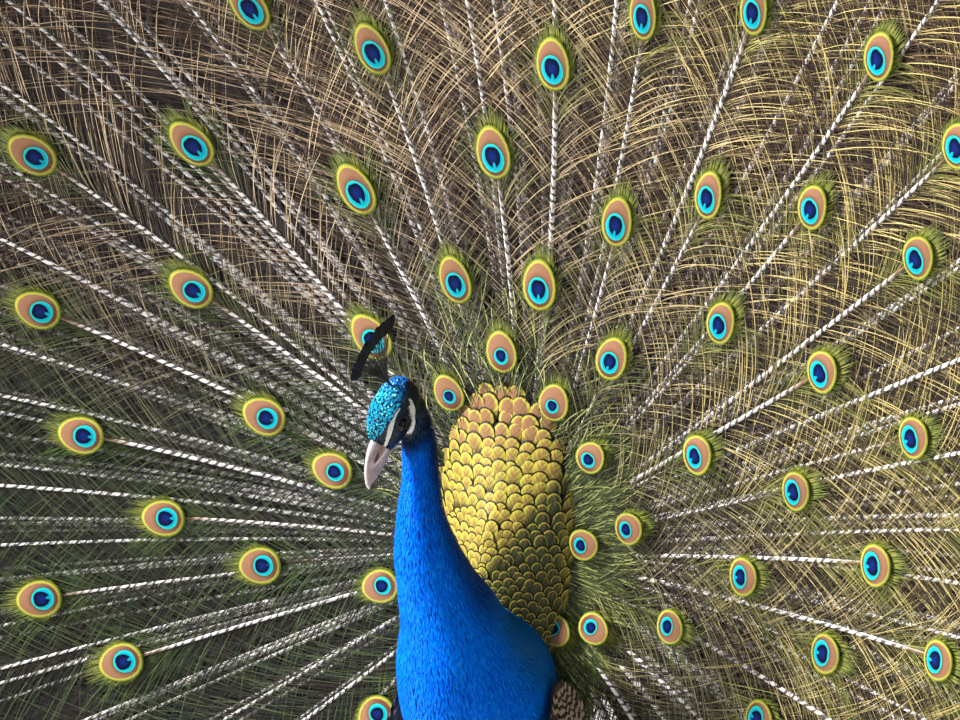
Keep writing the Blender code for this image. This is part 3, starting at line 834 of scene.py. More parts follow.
# Most shafts lie under the barbs of their neighbours and show only in gaps; a few lie on top
bare_side = (feather_angle < radians(-35)) | (feather_angle > radians(112))
on_top = (chance.random(len(feather_angle)) < np.where(bare_side, 0.86, 0.5)) & (feather_out > 0.4)
between_bare = chance.uniform(-0.001, 0.0003, len(feather_out))
between = np.where(bare_side, between_bare, chance.uniform(-0.0006, 0.0008, len(feather_out)))
shaft_proud = np.where(on_top, -0.0016, np.where(feather_out > 0.4, between, 0.0014))
SHAFT_ROOT, SHAFT_ROWS = 0.085, 14
FAN_DRIFT = (0.0085, 0.0022)    # how far the eyes stand off the lines from the hub


def on_feather(which, out):
    """Across, up and outward angle of places at a distance from the hub on the feathers numbered."""
    share = np.clip(out / feather_out[which], 0, 1)
    angle = feather_angle[which] + feather_bend[which] * (1 - share) ** 2
    drift = smooth_step(out, 0.06, 0.2)
    return out * np.sin(angle) + FAN_DRIFT[0] * drift, out * np.cos(angle) + FAN_DRIFT[1] * drift, angle


def train_patch(across, up):
    """A place on the train's own unwrap, which is the dish pressed flat."""
    return np.stack((0.5 + across / 2.6, 0.42 + up / 2.6), -1)


def level_sides(angle):
    """Directions across feathers that leave the hub at these angles from straight up."""
    return np.stack((np.cos(angle), 0 * angle, -np.sin(angle)), -1)


def shafts(plumage, front):
    """The quills, each a long ridge; the back one is hollowed the other way."""
    which = np.arange(len(feather_angle))
    tip = feather_out - 0.02 * (which >= len(eyes_at))
    out = SHAFT_ROOT + (tip - SHAFT_ROOT)[:, None] * even(SHAFT_ROWS)
    across, up, angle = on_feather(which[:, None], out)
    behind = (feather_behind + shaft_proud)[:, None] + (0 if front else 0.0024)
    size = np.interp(feather_out, (0.2, 0.5), (0.42, 1.0))
    thin = 1 - 0.24 * smooth_step(-np.cos(feather_angle), -0.25, 0.15) * (feather_angle < 0)
    halves = 0.0028 * (1 - 0.58 * (out - SHAFT_ROOT) / 1.1) * (size * thin)[:, None]
    sides = level_sides(angle) if front else -level_sides(angle)
    middle = train_patch(across[:, SHAFT_ROWS // 2], up[:, SHAFT_ROWS // 2])
    tone = np.stack((out, tip[:, None] - out, 0 * out), -1)
    return plumage.add(dish(across, up, behind), sides, halves, middle, bulge=0.9, tone=tone)


print(len(feather_angle), "train feathers,", FISHTAILS, "of them fishtails")

# %% [markdown]
# A shaft is ivory near the hub, where it is thick and bare. Towards the eye it browns and takes the
# bronze of its barbs. The attribute `tone` carries the distance from the hub and from the tip.

# %% Ivory shafts
def ivory(start):
    from_hub, to_tip, _ = carried(start, "tone").parts()
    side, _, chosen = vane(start)
    streak = place_of(start).stretched(260, 260, 30).noise(1.0, 3)
    pale = (chosen * 0.8).tint((1.0, 0.98, 0.98), (0.95, 0.86, 0.84))
    worn = (streak.step(0.48, 0.65) * 0.22).tint(pale, (0.5, 0.38, 0.34))
    worn = from_hub.step(0.15, 0.105).tint(worn, (0.055, 0.048, 0.028))
    # Barbs grip the shaft in pairs, and their dark feet cut the ivory into dashes
    feet = (from_hub * 600 + side * 1.4 + cloud(start, 60, 2) * 10 + chosen * 40).sine()
    worn = (feet.step(0.16, 0.56) * 0.93).tint(worn, (0.034, 0.028, 0.02))
    return {"Base Color": to_tip.step(0.075, 0.02).tint(worn, (0.2, 0.12, 0.045)),
            "Normal": bumped(streak, 0.0003)}


shaft_finish = finish("shaft_ivory", ivory, Roughness=0.38)
quills = shafts(shafts(Plumage(), True), False)
TRAIN_NODES = sorted(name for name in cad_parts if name.startswith("train_"))
quills.piece("train_shafts", shaft_finish, "train", *TRAIN_NODES)

# %% [markdown]
# The barbs make the fan's texture: loose bronze threads, three millimetres apart, that leave the shaft at
# a narrow angle and bow outward in long nested arcs. Each is a narrow ribbon of six lengths. Alpha cards
# would be lighter, but they don't keep their edges on another renderer.

# %% Paths of the barbs
BARB_LENGTHS = 6
BARB_KNOTS = even(BARB_LENGTHS + 1)
FOREMOST = -0.384   # the threads' ends don't reach further forward than this


def crossing(flat):
    """Directions across paths that are given across and up."""
    heading = unit(np.gradient(flat, axis=1))
    return np.stack((heading[..., 1], 0 * heading[..., 0], -heading[..., 0]), -1)


def barb_paths(which, out, side, start_angle, end_angle, length, rise, droop):
    """Arcs in the dish that leave the shafts at start_angle and end at end_angle from them."""
    across, up, angle = on_feather(which, out)
    share = (np.arange(BARB_LENGTHS) + 0.5) / BARB_LENGTHS
    lean = start_angle[:, None] + (end_angle - start_angle)[:, None] * share**0.85
    heading = angle[:, None] + side[:, None] * lean
    steps = np.stack((np.sin(heading), np.cos(heading)), -1) * (length / BARB_LENGTHS)[:, None, None]
    run = np.concatenate((np.zeros((len(which), 1, 2)), np.cumsum(steps, axis=1)), axis=1)
    fall = (-droop * length)[:, None] * BARB_KNOTS**2
    lift = feather_behind[which][:, None] - rise[:, None] * np.sin(pi * BARB_KNOTS**0.8)
    paths = dish(across[:, None] + run[..., 0], up[:, None] + run[..., 1] + fall, lift)
    paths[..., 1] = np.maximum(paths[..., 1], FOREMOST)
    return paths, crossing(run), train_patch(across, up)


def barbs_of(which, spacing, reach):
    """Feather numbers, distances and sides of the barbs on the last reach metres under each eye."""
    numbers, outs, sides = [], [], []
    for feather in which:
        tip = feather_out[feather] - (0.55 * eye_long[feather] if feather < len(eyes_at) else 0.01)
        low = max(tip - reach, 0.088)
        if tip - low < 0.005:
            continue
        run = tip - (tip - low) * even(int((tip - low) / spacing)) ** 1.12
        for side in (-1, 1):
            outs.append(run + chance.normal(0, spacing * 0.2, len(run)))
            numbers.append(np.full(len(run), feather))
            sides.append(np.full(len(run), side))
    return np.concatenate(numbers), np.concatenate(outs), np.concatenate(sides)


def barbs(which, spacing=0.003, reach=0.42):
    numbers, out, side = barbs_of(which, spacing, reach)
    below = feather_out[numbers] - out
    loose = smooth_step(below, 0.01, 0.13)
    count = len(numbers)
    across = out * np.sin(feather_angle[numbers])
    bowed = smooth_step(across, -0.2, 0.15)
    start_angle = np.radians(chance.normal(17, 4, count) + (27 - 9 * bowed) * loose)
    end_angle = np.radians(36 + (17 + 13 * bowed) * loose + chance.normal(0, 9, count))
    length = (0.072 + 0.045 * loose) * chance.normal(1, 0.12, count) * np.interp(out, (0.1, 0.35), (0.62, 1))
    rise = (0.001 + 0.005 * chance.random(count)) * (0.65 + 0.35 * loose)
    droop = 0.05 + 0.4 * (1 - loose) * smooth_step(across, -0.05, 0.25)
    paths, sides, patches = barb_paths(numbers, out, side, start_angle, end_angle, length, rise, droop)
    halves = 0.00037 * (1 - 0.5 * BARB_KNOTS**2) * chance.normal(1, 0.18, count)[:, None]
    near_eye = 1 - smooth_step(below, 0.03, 0.11)
    return Plumage().add(paths, sides, halves, patches, across=1, tone=near_eye)


print("barbs bow outward over", BARB_LENGTHS, "lengths")

# %% [markdown]
# The threads' colour is structural, so it shifts over the fan: warm bronze at the top, olive on the
# bird's right, yellow-green on its left, and greener close to each eye. The shift from side to side and
# top to bottom comes with the angle of light and view, and is painted in fixed, as painted sheen. Nearly
# every thread differs a little from the next. A part of metal in the shader gives the glint, and some
# threads carry a painted highlight, brightest on the bird's left and at the top. Others are painted
# nearly black as painted shade in the gaps, and each thread's root is darker, partly its own colour and
# partly painted shade.

# %% Bronze threads
def bronze(start):
    across, _, height = place_of(start).parts()
    _, along, chosen = vane(start)
    near_eye = tone_of(start)
    patchy = cloud(start, 7, 2)
    golden = (across + (patchy - 0.5) * 0.5).step(-0.15, 0.45)
    top = (height + (patchy - 0.5) * 0.4).step(0.8, 1.15)
    base = golden.tint((0.052, 0.04, 0.028), (0.105, 0.08, 0.034))
    base = (top * 0.8).tint(base, (0.135, 0.074, 0.04))
    low = (height + (patchy - 0.5) * 0.3).step(0.9, 0.64)
    base = coated(
        base,
        (low * (1 - golden) * 0.92, (0.01, 0.03, 0.018)),
        (low * golden * 0.45, (0.12, 0.098, 0.048)))
    # Painted highlight: some threads are painted pale gold as if catching the lamp, more so on the bird's left and
    # at the top
    painted_glint = golden.tint((0.8, 0.6, 0.38), (0.84, 0.68, 0.28))
    painted_glint = (low * (1 - golden) * 0.9).tint(painted_glint, (0.16, 0.25, 0.085))
    lit = golden.most(top) * 0.35 + 0.6
    base = coated(
        base,
        (chosen.step(0.64, 0.86) * lit * (1 - low * (1 - golden) * 0.35), painted_glint),
        # Painted shade: a share of the threads are painted nearly black, for the shade in the gaps between threads
        (chosen.step(0.58, 0.3) * 0.9, (0.02, 0.011, 0.011)),
        (near_eye * (0.5 + chosen * 0.3), golden.tint((0.1, 0.18, 0.03), (0.26, 0.31, 0.045))))
    # Each thread is darker at its root, partly its own colour and partly painted shade under the threads above it
    return {"Base Color": along.step(-0.1, 0.25).tint((0.045, 0.026, 0.02), base)}


barb_finish = finish("barb_bronze", bronze, Roughness=0.36, Metallic=0.3)
order = np.argsort(feather_out)
barb_total = 0
for name, share in zip("abcde", np.array_split(order, 5)):
    made = barbs(share)
    barb_total += 2 * made.faces
    made.piece("train_barbs_" + name, barb_finish, "train")
print("barbs:", barb_total, "triangles in all")

# %% [markdown]
# Behind the threads the fan must close, or daylight would show through it. Each long feather has a broad
# dark vane at the back, lapped over its neighbours; its nearly black colour is painted shade for the depth
# between the threads. From behind, these are the grey-brown fan that a displaying peacock turns away from
# you.

# %% Dark vanes behind
BACKING_ROWS = 22


def backing():
    which = np.flatnonzero(feather_out > 0.6)
    which = which[np.argsort(feather_angle[which])]
    top = feather_out[which] + 0.03 * (which < len(eyes_at))
    share = even(BACKING_ROWS)
    out = 0.1 + (top - 0.1)[:, None] * share
    across, up, angle = on_feather(which[:, None], out)
    behind = 0.006 + 0.0022 * (np.arange(len(which)) % 4)[:, None] + 0.004 * (out / 1.1)
    halves = 0.058 * np.minimum(1, out / 0.75) * np.sqrt(np.clip(1 - share**7, 0, 1)) + 0.002
    middle = train_patch(across[:, BACKING_ROWS // 2], up[:, BACKING_ROWS // 2])
    return Plumage().add(dish(across, up, behind), level_sides(angle), halves, middle, across=4, bulge=-0.05)


def back_vane(start):
    side, along, chosen = vane(start)
    lines = (abs(side) * 26 - along * 260).sine()
    # Painted shade: the vane is nearly black, with faint brown lines
    base = cloud(start, 16, 3).step(0.35, 0.65).tint((0.011, 0.008, 0.009), (0.024, 0.016, 0.016))
    base = (chosen * 0.5).tint(base, (0.009, 0.009, 0.011))
    return {"Base Color": (lines.step(0.2, 0.9) * 0.32).tint(base, (0.06, 0.045, 0.036)),
            "Normal": bumped(lines, 0.0006)}


backing().piece("train_backing", finish("vane_brown_shade", back_vane, Roughness=0.62), "train")

# %% [markdown]
# The eye is a flat, slightly domed disc. Its bands are painted from the disc's own coordinates: a gold
# rim, a copper disc, a turquoise egg set towards the hub, and in it a dark blue heart whose notch looks
# down the shaft. A piece for each band would leave hard steps where the real bands melt into each other.

# %% The eyes of the train
EYE_ROWS = 11


def eye_discs():
    which = np.arange(len(eyes_at))
    turn = np.linspace(0, pi, EYE_ROWS)
    along = -np.cos(turn)
    across, up, angle = on_feather(which, eye_out)
    outward = np.stack((np.sin(angle), np.cos(angle)), -1)
    offset = outward[:, None] * (eye_long[:, None] * along)[..., None]
    offset[..., 0] *= eye_squash[:, None]
    flat = np.stack((across, up), -1)[:, None] + offset
    forward = 0.0066 + 0.006 * (1 - smooth_step(eye_out, 0.12, 0.2))
    behind = (feather_behind[which] - forward)[:, None] - 0.0012 * np.sin(turn)
    halves = eye_wide[:, None] * np.maximum(np.sin(turn), 0.03) * (1 - 0.1 * along)
    sides = np.stack((np.cos(angle) * eye_squash, 0 * angle, -np.sin(angle)), -1)[:, None]
    # The innermost eyes have the smallest blue centres, smallest of all above the shield
    above_shield = (np.abs(eye_angle) < radians(26)) & (eye_out < 0.24)
    egg_size = np.interp(eye_out, (0.13, 0.36), (0.78, 1.0)) - 0.16 * above_shield
    egg_size = egg_size - 0.09 * (eye_angle < radians(-50)) * (eye_out > 0.2)
    tiles = int(np.ceil(sqrt(len(which))))
    patches = (np.stack((which % tiles, which // tiles), -1) + 0.5) / tiles
    return Plumage().add(dish(flat[..., 0], flat[..., 1], behind), sides, halves, patches,
                         across=6, bulge=0.1, patch_size=0.46 / tiles, tone=egg_size)


def eye_paint(start):
    side, share, chosen = vane(start)
    grown = tone_of(start)
    turn = share * pi
    v = (turn + pi / 2).sine() * -1
    u = side * turn.sine()
    fibre = (abs(u) * 46 - v * 52).sine() * 0.5 + 0.5
    grain = cloud(start, 420, 2)
    wobble = (grain - 0.5) * 0.05
    edge = (u * u + v * v).root() + wobble
    egg = ((u / 0.64) ** 2 + ((v + 0.19) / 0.54) ** 2).root() / grown + wobble
    lobes = (u * u + 0.0004).root() * 0.495
    heart = ((u / 0.455) ** 2 + ((v + 0.135) / 0.4 + 0.1 - lobes) ** 2).root() / grown + wobble * 0.6
    notch = (((u - 0.03) / 0.095) ** 2 + ((v + 0.6) / 0.27) ** 2).root().step(1.08, 0.88)
    notch = notch * grown.step(0.84, 0.93)
    low = v.step(-0.15, -0.75)
    copper = (grain * 0.7).tint((0.36, 0.19, 0.11), (0.27, 0.13, 0.072))
    copper = coated(
        copper,
        (low * 0.75, (0.13, 0.04, 0.03)),
        (egg.step(1.45, 1.05) * 0.5, (0.15, 0.055, 0.036)))
    rim = (fibre * 0.5 + grain * 0.4).tint((0.6, 0.52, 0.085), (0.34, 0.36, 0.05))
    paint = edge.step(0.81, 0.86).tint(copper, rim)
    paint = coated(
        paint,
        (edge.step(0.9, 0.98) * 0.85, (0.085, 0.16, 0.02)),
        (egg.step(1.1, 1.0), (0.1, 0.1, 0.035)))
    turquoise = egg.step(0.7, 1.0).tint((0.0, 0.4, 0.56), (0.02, 0.62, 0.6))
    paint = egg.step(1.0, 0.95).tint(paint, turquoise)
    blue = heart.step(0.1, 0.95).tint((0.003, 0.018, 0.15), (0.001, 0.002, 0.018))
    paint = coated(
        paint,
        (heart.step(1.03, 0.93) * (1 - notch), blue),
        (abs(u).step(0.02, 0.008) * v.step(-0.74, -0.8) * 0.6, (0.08, 0.06, 0.03)))
    return {"Base Color": paint.shade(0.86 + chosen * 0.2), "Normal": bumped(fibre, 0.0002, 0.35)}


eye_discs().piece(
    "train_eyes", finish("eye_bands", eye_paint, Roughness=0.5, Specular_IOR_Level=0.08), "train")

# %% [markdown]
# Round each eye the barbs' free ends make a green fringe, longest past the tip, where it draws to a
# point. The ribbons start under the disc's edge and lean outward, away from the hub.

# %% The green fringe
FRINGE_COUNT = 78


def fringe(plumage, layer):
    """One ribbon after another round every eye; the second layer is longer and lies behind the first."""
    which = np.repeat(np.arange(len(eyes_at)), FRINGE_COUNT)
    count = len(which)
    around = np.tile(np.linspace(-1, 1, FRINGE_COUNT), len(eyes_at)) * pi * 0.86
    around = around + chance.normal(0, 0.03, count)
    across, up, angle = on_feather(which, eye_out[which])
    outward = np.stack((np.sin(angle), np.cos(angle)), -1)
    sideways = np.stack((np.cos(angle), -np.sin(angle)), -1)
    edge_side = np.sin(around) * eye_wide[which] * (1 - 0.1 * np.cos(around)) * 0.88
    edge_out = np.cos(around) * eye_long[which] * 0.9
    offset = sideways * edge_side[:, None] + outward * edge_out[:, None]
    offset[:, 0] *= eye_squash[which]
    root = np.stack((across, up), -1) + offset
    past_tip = smooth_step(np.cos(around), 0.2, 1.0)
    lean = np.sin(around) * np.interp(np.abs(around), (0, 0.6, 1.6, 2.8), (0.1, 0.38, 0.85, 1.2))
    lean = lean + chance.normal(0, 0.12, count)
    length = (0.0085 + 0.0075 * past_tip**2) * np.interp(eye_out[which], (0.12, 0.4), (0.7, 1.1))
    length = length * chance.normal(1, 0.18, count) * (1.25 if layer else 1.0)
    knots = even(4)
    turning = (lean[:, None] * (1 - 0.35 * knots))[..., None]
    way = outward[:, None] * np.cos(turning) + sideways[:, None] * np.sin(turning)
    flat = root[:, None] + way * (length[:, None] * knots)[..., None]
    behind = feather_behind[which][:, None] - 0.0035 + 0.0014 * layer - 0.001 * knots
    halves = 0.0006 * (1 - 0.6 * knots**2)
    paths = dish(flat[..., 0], flat[..., 1], behind)
    return plumage.add(paths, crossing(flat), halves, train_patch(across, up), across=1, tone=past_tip)


def fringe_green(start):
    _, along, chosen = vane(start)
    tip = tone_of(start)
    base = chosen.tint((0.13, 0.2, 0.026), (0.5, 0.5, 0.085))
    base = coated(
        base,
        (along.step(0.45, 1.0) * 0.8, (0.075, 0.085, 0.026)),
        (tip * 0.4, (0.03, 0.055, 0.014)))
    return {"Base Color": base}


fringe(fringe(Plumage(), 0), 1).piece(
    "train_fringe", finish("fringe_green", fringe_green, Roughness=0.42, Metallic=0.2), "train")

# %% [markdown]
# The fishtails close the rim: a forked end whose barbs sweep out to both sides and leave a shallow bay
# between two points.

# %% Fishtail ends
FISHTAIL_BARBS = 44    # on each side


def fishtails():
    which = len(eyes_at) + np.repeat(np.arange(FISHTAILS), 2 * FISHTAIL_BARBS)
    step = np.tile(np.repeat(even(FISHTAIL_BARBS), 2), FISHTAILS)
    count = len(which)
    side = np.tile(np.array((-1, 1)), count // 2)
    out = feather_out[which] - 0.004 - 0.105 * (1 - step)
    start_angle = np.radians(20 + chance.normal(0, 2, count))
    end_angle = np.radians(34 + 22 * step + chance.normal(0, 3, count))
    length = (0.04 + 0.016 * np.sin(step * pi)) * chance.normal(1, 0.04, count)
    rise, droop = np.full(count, 0.002), np.full(count, 0.05)
    paths, sides, patches = barb_paths(which, out, side, start_angle, end_angle, length, rise, droop)
    halves = 0.0014 * (1 - 0.5 * BARB_KNOTS**2)
    return Plumage().add(paths, sides, halves, patches, across=1, tone=0.35 + 0.3 * step)


fishtails().piece("train_fishtails", barb_finish, "train")

# %% [markdown]
# Under the train the bird itself is clothed from the nape to the thighs. Every tuft is laid the same way:
# it leaves the skin, leans with the lie of the coat and lifts its tip a little, so that it covers the
# roots of the next row, as slates do on a roof.

# %% Laying tufts on the skin
def square_to(vectors, along):
    """The directions nearest to vectors that are square to the unit vectors along."""
    return unit(vectors - (vectors * along).sum(-1, keepdims=True) * along)


def laid(places, normals, lie, patches, length, half, lift,
         rows=4, across=1, bulge=0.0, outline=((0, 0.35, 0.8, 1), (0.6, 1, 0.75, 0.2)), **carried):
    """Tufts from places on the skin. length, half and lift are in metres, one for each tuft or for all."""
    length, half, lift = (np.broadcast_to(value, len(places))[:, None] for value in (length, half, lift))
    lie = square_to(lie, normals)
    knots = even(rows)
    paths = (places[:, None] + lie[:, None] * (length * knots)[..., None]
             + normals[:, None] * (lift * np.sin(knots * pi * 0.62))[..., None])
    sides = unit(np.cross(lie, normals))[:, None]
    halves = half * np.interp(knots, *outline)
    return Plumage().add(paths, sides, halves, patches, across=across, bulge=bulge, **carried)


def turned(vectors, axes, angles):
    """Vectors, or one vector for all, turned about unit axes by angles."""
    angles = angles[:, None]
    return (vectors * np.cos(angles) + np.cross(axes, vectors) * np.sin(angles)
            + axes * (axes * vectors).sum(-1, keepdims=True) * (1 - np.cos(angles)))


print("a tuft of", len(blade(1, 3)[2]), "faces can be laid on the skin")

# %% [markdown]
# The neck's feathers are fine and hairy, and lie close, so the neck reads as blue silk with streaks. They
# stand in rows round the spine, each half a step on from the last. Further down they broaden over the
# breast and turn dark under the belly.

# %% Rows round the spine
def spine_rows(start, end, row_step, spacing):
    """Station, turn and place of tufts in staggered rows between two stations."""
    fine = np.linspace(start, end, 400)
    travelled = np.concatenate(([0], np.cumsum(np.linalg.norm(np.diff(spine(fine)[0], axis=0), axis=1))))
    rows = np.interp(np.arange(0, travelled[-1], row_step), travelled, fine)
    stations, turns = [], []
    for number, s in enumerate(rows):
        _, wide, deep = spine(s)
        count = int(pi * (wide + deep) / spacing)
        turn = tau * (np.arange(count) + 0.5 * (number % 2)) / count
        turns.append(turn + chance.normal(0, 0.2 * spacing / (0.5 * (wide + deep)), count))
        stations.append(np.full(count, s) + chance.normal(0, 0.04, count))
    return np.clip(np.concatenate(stations), 0.05, 14.9), np.concatenate(turns)


def spine_coat(start, end, row_step, spacing, length, half):
    """Tufts along the neck or body, in the bird's own run from head to tail."""
    s, turn = spine_rows(start, end, row_step, spacing)
    depth = coat_depth(s)
    places = body_point(s, turn, depth)
    ahead = body_point(np.minimum(s + 0.06, 15), turn, depth)
    around = body_point(s, turn + 0.03, depth)
    normals = unit(np.cross(around - places, ahead - places))
    outward = places - spine(s)[0]
    normals = normals * np.sign((normals * outward).sum(-1, keepdims=True))
    lie = turned(unit(ahead - places), normals, chance.normal(0, 0.09, len(s)))
    near, _, patches = on_skin(places)
    # Tufts whose root would be inside the skull, or on a bare patch of the face, are left out
    kept = (np.linalg.norm(near - places, axis=1) < 0.0022) & (head_marks(near)[:, 0] < 0.1)
    s, turn, depth, places, normals, lie, patches = (
        value[kept] for value in (s, turn, depth, places, normals, lie, patches))
    size = np.interp(s, (0.3, 1.5, 5, 7), (0.45, 0.65, 1, 1.15)) * chance.normal(1, 0.12, len(s))
    return laid(places, normals, lie, patches, length * size, half * np.sqrt(size), depth * 1.05,
                marks=head_marks(places), shades=body_marks(places, s, turn))


print("rows round the neck:", len(spine_rows(0.4, 7.9, 0.0029, 0.0017)[0]), "tufts")

# %% [markdown]
# Azure silk is brightest at the tips; its roots are painted darker, as shade under the tufts that lie
# over them, and this makes the streaks. The shares of teal, dark belly, navy and black come from the
# skin's markings; the navy is painted shade where the neck turns away from the key lamp. A blue tint on
# the gloss gives the structural glow.

# %% Azure silk
def azure(start):
    _, along, chosen = vane(start)
    _, _, black = carried(start, "marks").parts()
    teal, belly, painted_navy_shade = carried(start, "shades").parts()
    drift = cloud(start, 24, 2)
    base = (chosen * 0.6 + drift * 0.4).step(0.15, 0.85).tint((0.0, 0.12, 0.84), (0.0, 0.215, 1.0))
    base = coated(
        base,
        (chosen.step(0.86, 0.98) * 0.5, (0.01, 0.3, 1.0)),
        (teal * 0.85, (0.0, 0.135, 0.46)),
        # Painted shade in navy, where the neck turns away from the key lamp
        (painted_navy_shade * 0.94, (0.0, 0.006, 0.052)),
        (belly * 0.99, (0.006, 0.017, 0.022)),
        (black * 0.95, (0.003, 0.008, 0.022)))
    # Painted shade: each tuft is darker towards its root
    shadow = along.step(0.0, 0.6) * 0.24 + 0.76
    return {"Base Color": base.shade(shadow)}


silk_finish = finish("silk_azure", azure, Roughness=0.5, Specular_IOR_Level=0.3,
                     Specular_Tint=(0.05, 0.35, 1.0, 1))
spine_coat(0.4, 7.9, 0.0029, 0.0017, 0.0125, 0.00078).piece("neck_silk", silk_finish, "neck")
spine_coat(7.9, 13.6, 0.0056, 0.0036, 0.02, 0.0021).piece("body_plumage", silk_finish, "body")

# %% [markdown]
# The face is clothed in tiny dark strands, smallest near the bill. They keep off the bare patches, the
# eyes and the crown, so their roots are drawn from the skin's own faces where the markings allow them.

# %% Roots on the head
skin_faces = np.array([face.center for face in skin_mesh.polygons]) - STANCE
skin_looks = np.array([face.normal for face in skin_mesh.polygons])
skin_areas = np.array([face.area for face in skin_mesh.polygons])
face_head = in_head(skin_faces)
face_marks = head_marks(skin_faces)
on_face = (np.abs(face_head) < (44, 36, 28)).all(1) & (face_head[:, 0] < 27.5)
clear_of_eye = np.hypot(face_head[:, 0] * 0.92, (face_head[:, 1] - EYE_UP) * 0.94) > 7.7
clear_of_eye |= np.abs(face_head[:, 2]) < 9


def drawn_roots(allowed, count):
    """Numbers of skin faces, drawn by their area where allowed."""
    weight = skin_areas * allowed
    count = min(count, int((weight > 0).sum()))
    return chance.choice(len(weight), count, replace=False, p=weight / weight.sum())


def face_strands():
    roots = drawn_roots(on_face & clear_of_eye & (face_marks[:, 0] < 0.25) & (face_marks[:, 1] < 0.6), 15000)
    forward, normals = face_head[roots, 0], skin_looks[roots]
    down_neck = unit(spine(1.2)[0] - spine(0.2)[0])
    back = 1 - smooth_step(forward, -36, -8)[:, None]
    lie = unit(-HEAD_AXES[0] * (1 - back) - HEAD_AXES[1] * 0.25 + down_neck * back)
    lie = turned(lie, normals, chance.normal(0, 0.15, len(roots)))
    length = np.interp(forward, (-40, -10, 26), (0.0062, 0.0042, 0.0024)) * chance.normal(1, 0.15, len(roots))
    return laid(skin_faces[roots], normals, lie, face_patches[roots], length, 0.00042, 0.0009, rows=3,
                marks=face_marks[roots])


def face_dark(start):
    _, along, chosen = vane(start)
    _, crown, _ = carried(start, "marks").parts()
    drift = cloud(start, 55, 2)
    base = chosen.tint((0.002, 0.006, 0.012), (0.004, 0.022, 0.04))
    base = coated(
        base,
        (drift.step(0.52, 0.68) * 0.8, (0.004, 0.06, 0.06)),
        (crown * 0.8, (0.004, 0.09, 0.35)))
    return {"Base Color": base.shade(along.step(0, 0.7) * 0.6 + 0.4)}


face_strands().piece(
    "face_strands", finish("face_blue_black", face_dark, Roughness=0.4, Metallic=0.25), "head")

# %% [markdown]
# The crown is a cap of tiny curled scales, turquoise at the tips and dark between. Each is a small cupped
# blade that turns its own way. They keep a distance from each other, so that the dark gaps show.

# %% Curls of the crown
def spread_out(places, least):
    """Picks places, in a shuffled order, that keep at least this distance from those already picked."""
    kept = []
    for number in chance.permutation(len(places)):
        if not kept or ((places[kept] - places[number]) ** 2).sum(1).min() > least * least:
            kept.append(number)
    return np.array(kept)


def crown_curls():
    allowed = np.flatnonzero(on_face & (face_marks[:, 1] > 0.45))
    roots = allowed[spread_out(skin_faces[allowed], 0.00145)]
    normals = skin_looks[roots]
    lie = turned(-HEAD_AXES[0] + 0.2 * HEAD_AXES[1], normals, chance.normal(0, 0.75, len(roots)))
    size = np.interp(face_head[roots, 0], (-40, -10, 24), (1.12, 1.0, 0.84))
    size = size * chance.normal(1, 0.14, len(roots))
    rise = skin_faces[roots] + normals * 0.0002
    return laid(rise, normals, lie, face_patches[roots], 0.0029 * size, 0.00122 * size, 0.0015 * size,
                rows=5, across=2, bulge=-0.45, outline=((0, 0.3, 0.6, 0.85, 1), (0.45, 0.8, 1, 0.8, 0.35)),
                marks=face_head[roots] / 30)


def turquoise_curl(start):
    side, along, chosen = vane(start)
    forward = carried(start, "marks").parts()[0]
    base = chosen.tint((0.0, 0.4, 0.98), (0.02, 0.82, 1.0))
    base = coated(
        base,
        (forward.step(0.35, 0.75) * 0.45, (0.02, 0.76, 0.86)),
        (forward.step(-0.35, -1.05) * 0.85, (0.0, 0.12, 0.62)),
        (chosen.step(0.8, 0.95) * 0.5, (0.2, 0.92, 1.0)))
    rim = abs(side).step(0.62, 0.98) * 0.6
    base = rim.tint(base, (0.0, 0.035, 0.13))
    return {"Base Color": along.step(0.45, 0.12).tint(base, (0.0, 0.008, 0.045))}


crown_curls().piece(
    "crown_curls", finish("curl_turquoise", turquoise_curl, Roughness=0.35, Metallic=0.3), "head")

# %% [markdown]
# Now the skin gets its finish. Where it is clothed it only has to be darker than its feathers; the two
# bare patches show, white and finely wrinkled.

# %% Skin finish
def skin_paint(start):
    bare, crown, black = carried(start, "marks").parts()
    teal, belly, _ = carried(start, "shades").parts()
    grain = cloud(start, 900, 3)
    pores = start.node("ShaderNodeTexVoronoi", {"feature": "F1"}, 0, Vector=place_of(start), Scale=1100)
    base = belly.tint((0.0, 0.085, 0.52), (0.01, 0.014, 0.016))
    base = coated(
        base,
        (teal, (0.0, 0.04, 0.09)),
        (black, (0.002, 0.005, 0.012)),
        (crown, (0.0, 0.01, 0.055)))
    white = grain.step(0.35, 0.7).tint((0.8, 0.83, 0.8), (0.95, 0.96, 0.94))
    return {"Base Color": bare.step(0.3, 0.7).tint(base, white),
            "Normal": bumped(pores + grain * 0.5, 0.0004)}


FLESH = ["head", "neck_upper", "neck_middle", "neck_lower", "breast", "trunk", "rump",
         "thigh_left", "thigh_right", "vent"]
skin = dressed("skin", skin_mesh, finish("skin_soft", skin_paint, Roughness=0.55), "body", *FLESH)

# %% [markdown]
# An eye is a ball with a slightly bulging cornea, dark brown round a black pupil. Its pole looks outward,
# and each point carries its angle from that pole, which makes the iris's rings easy to paint.

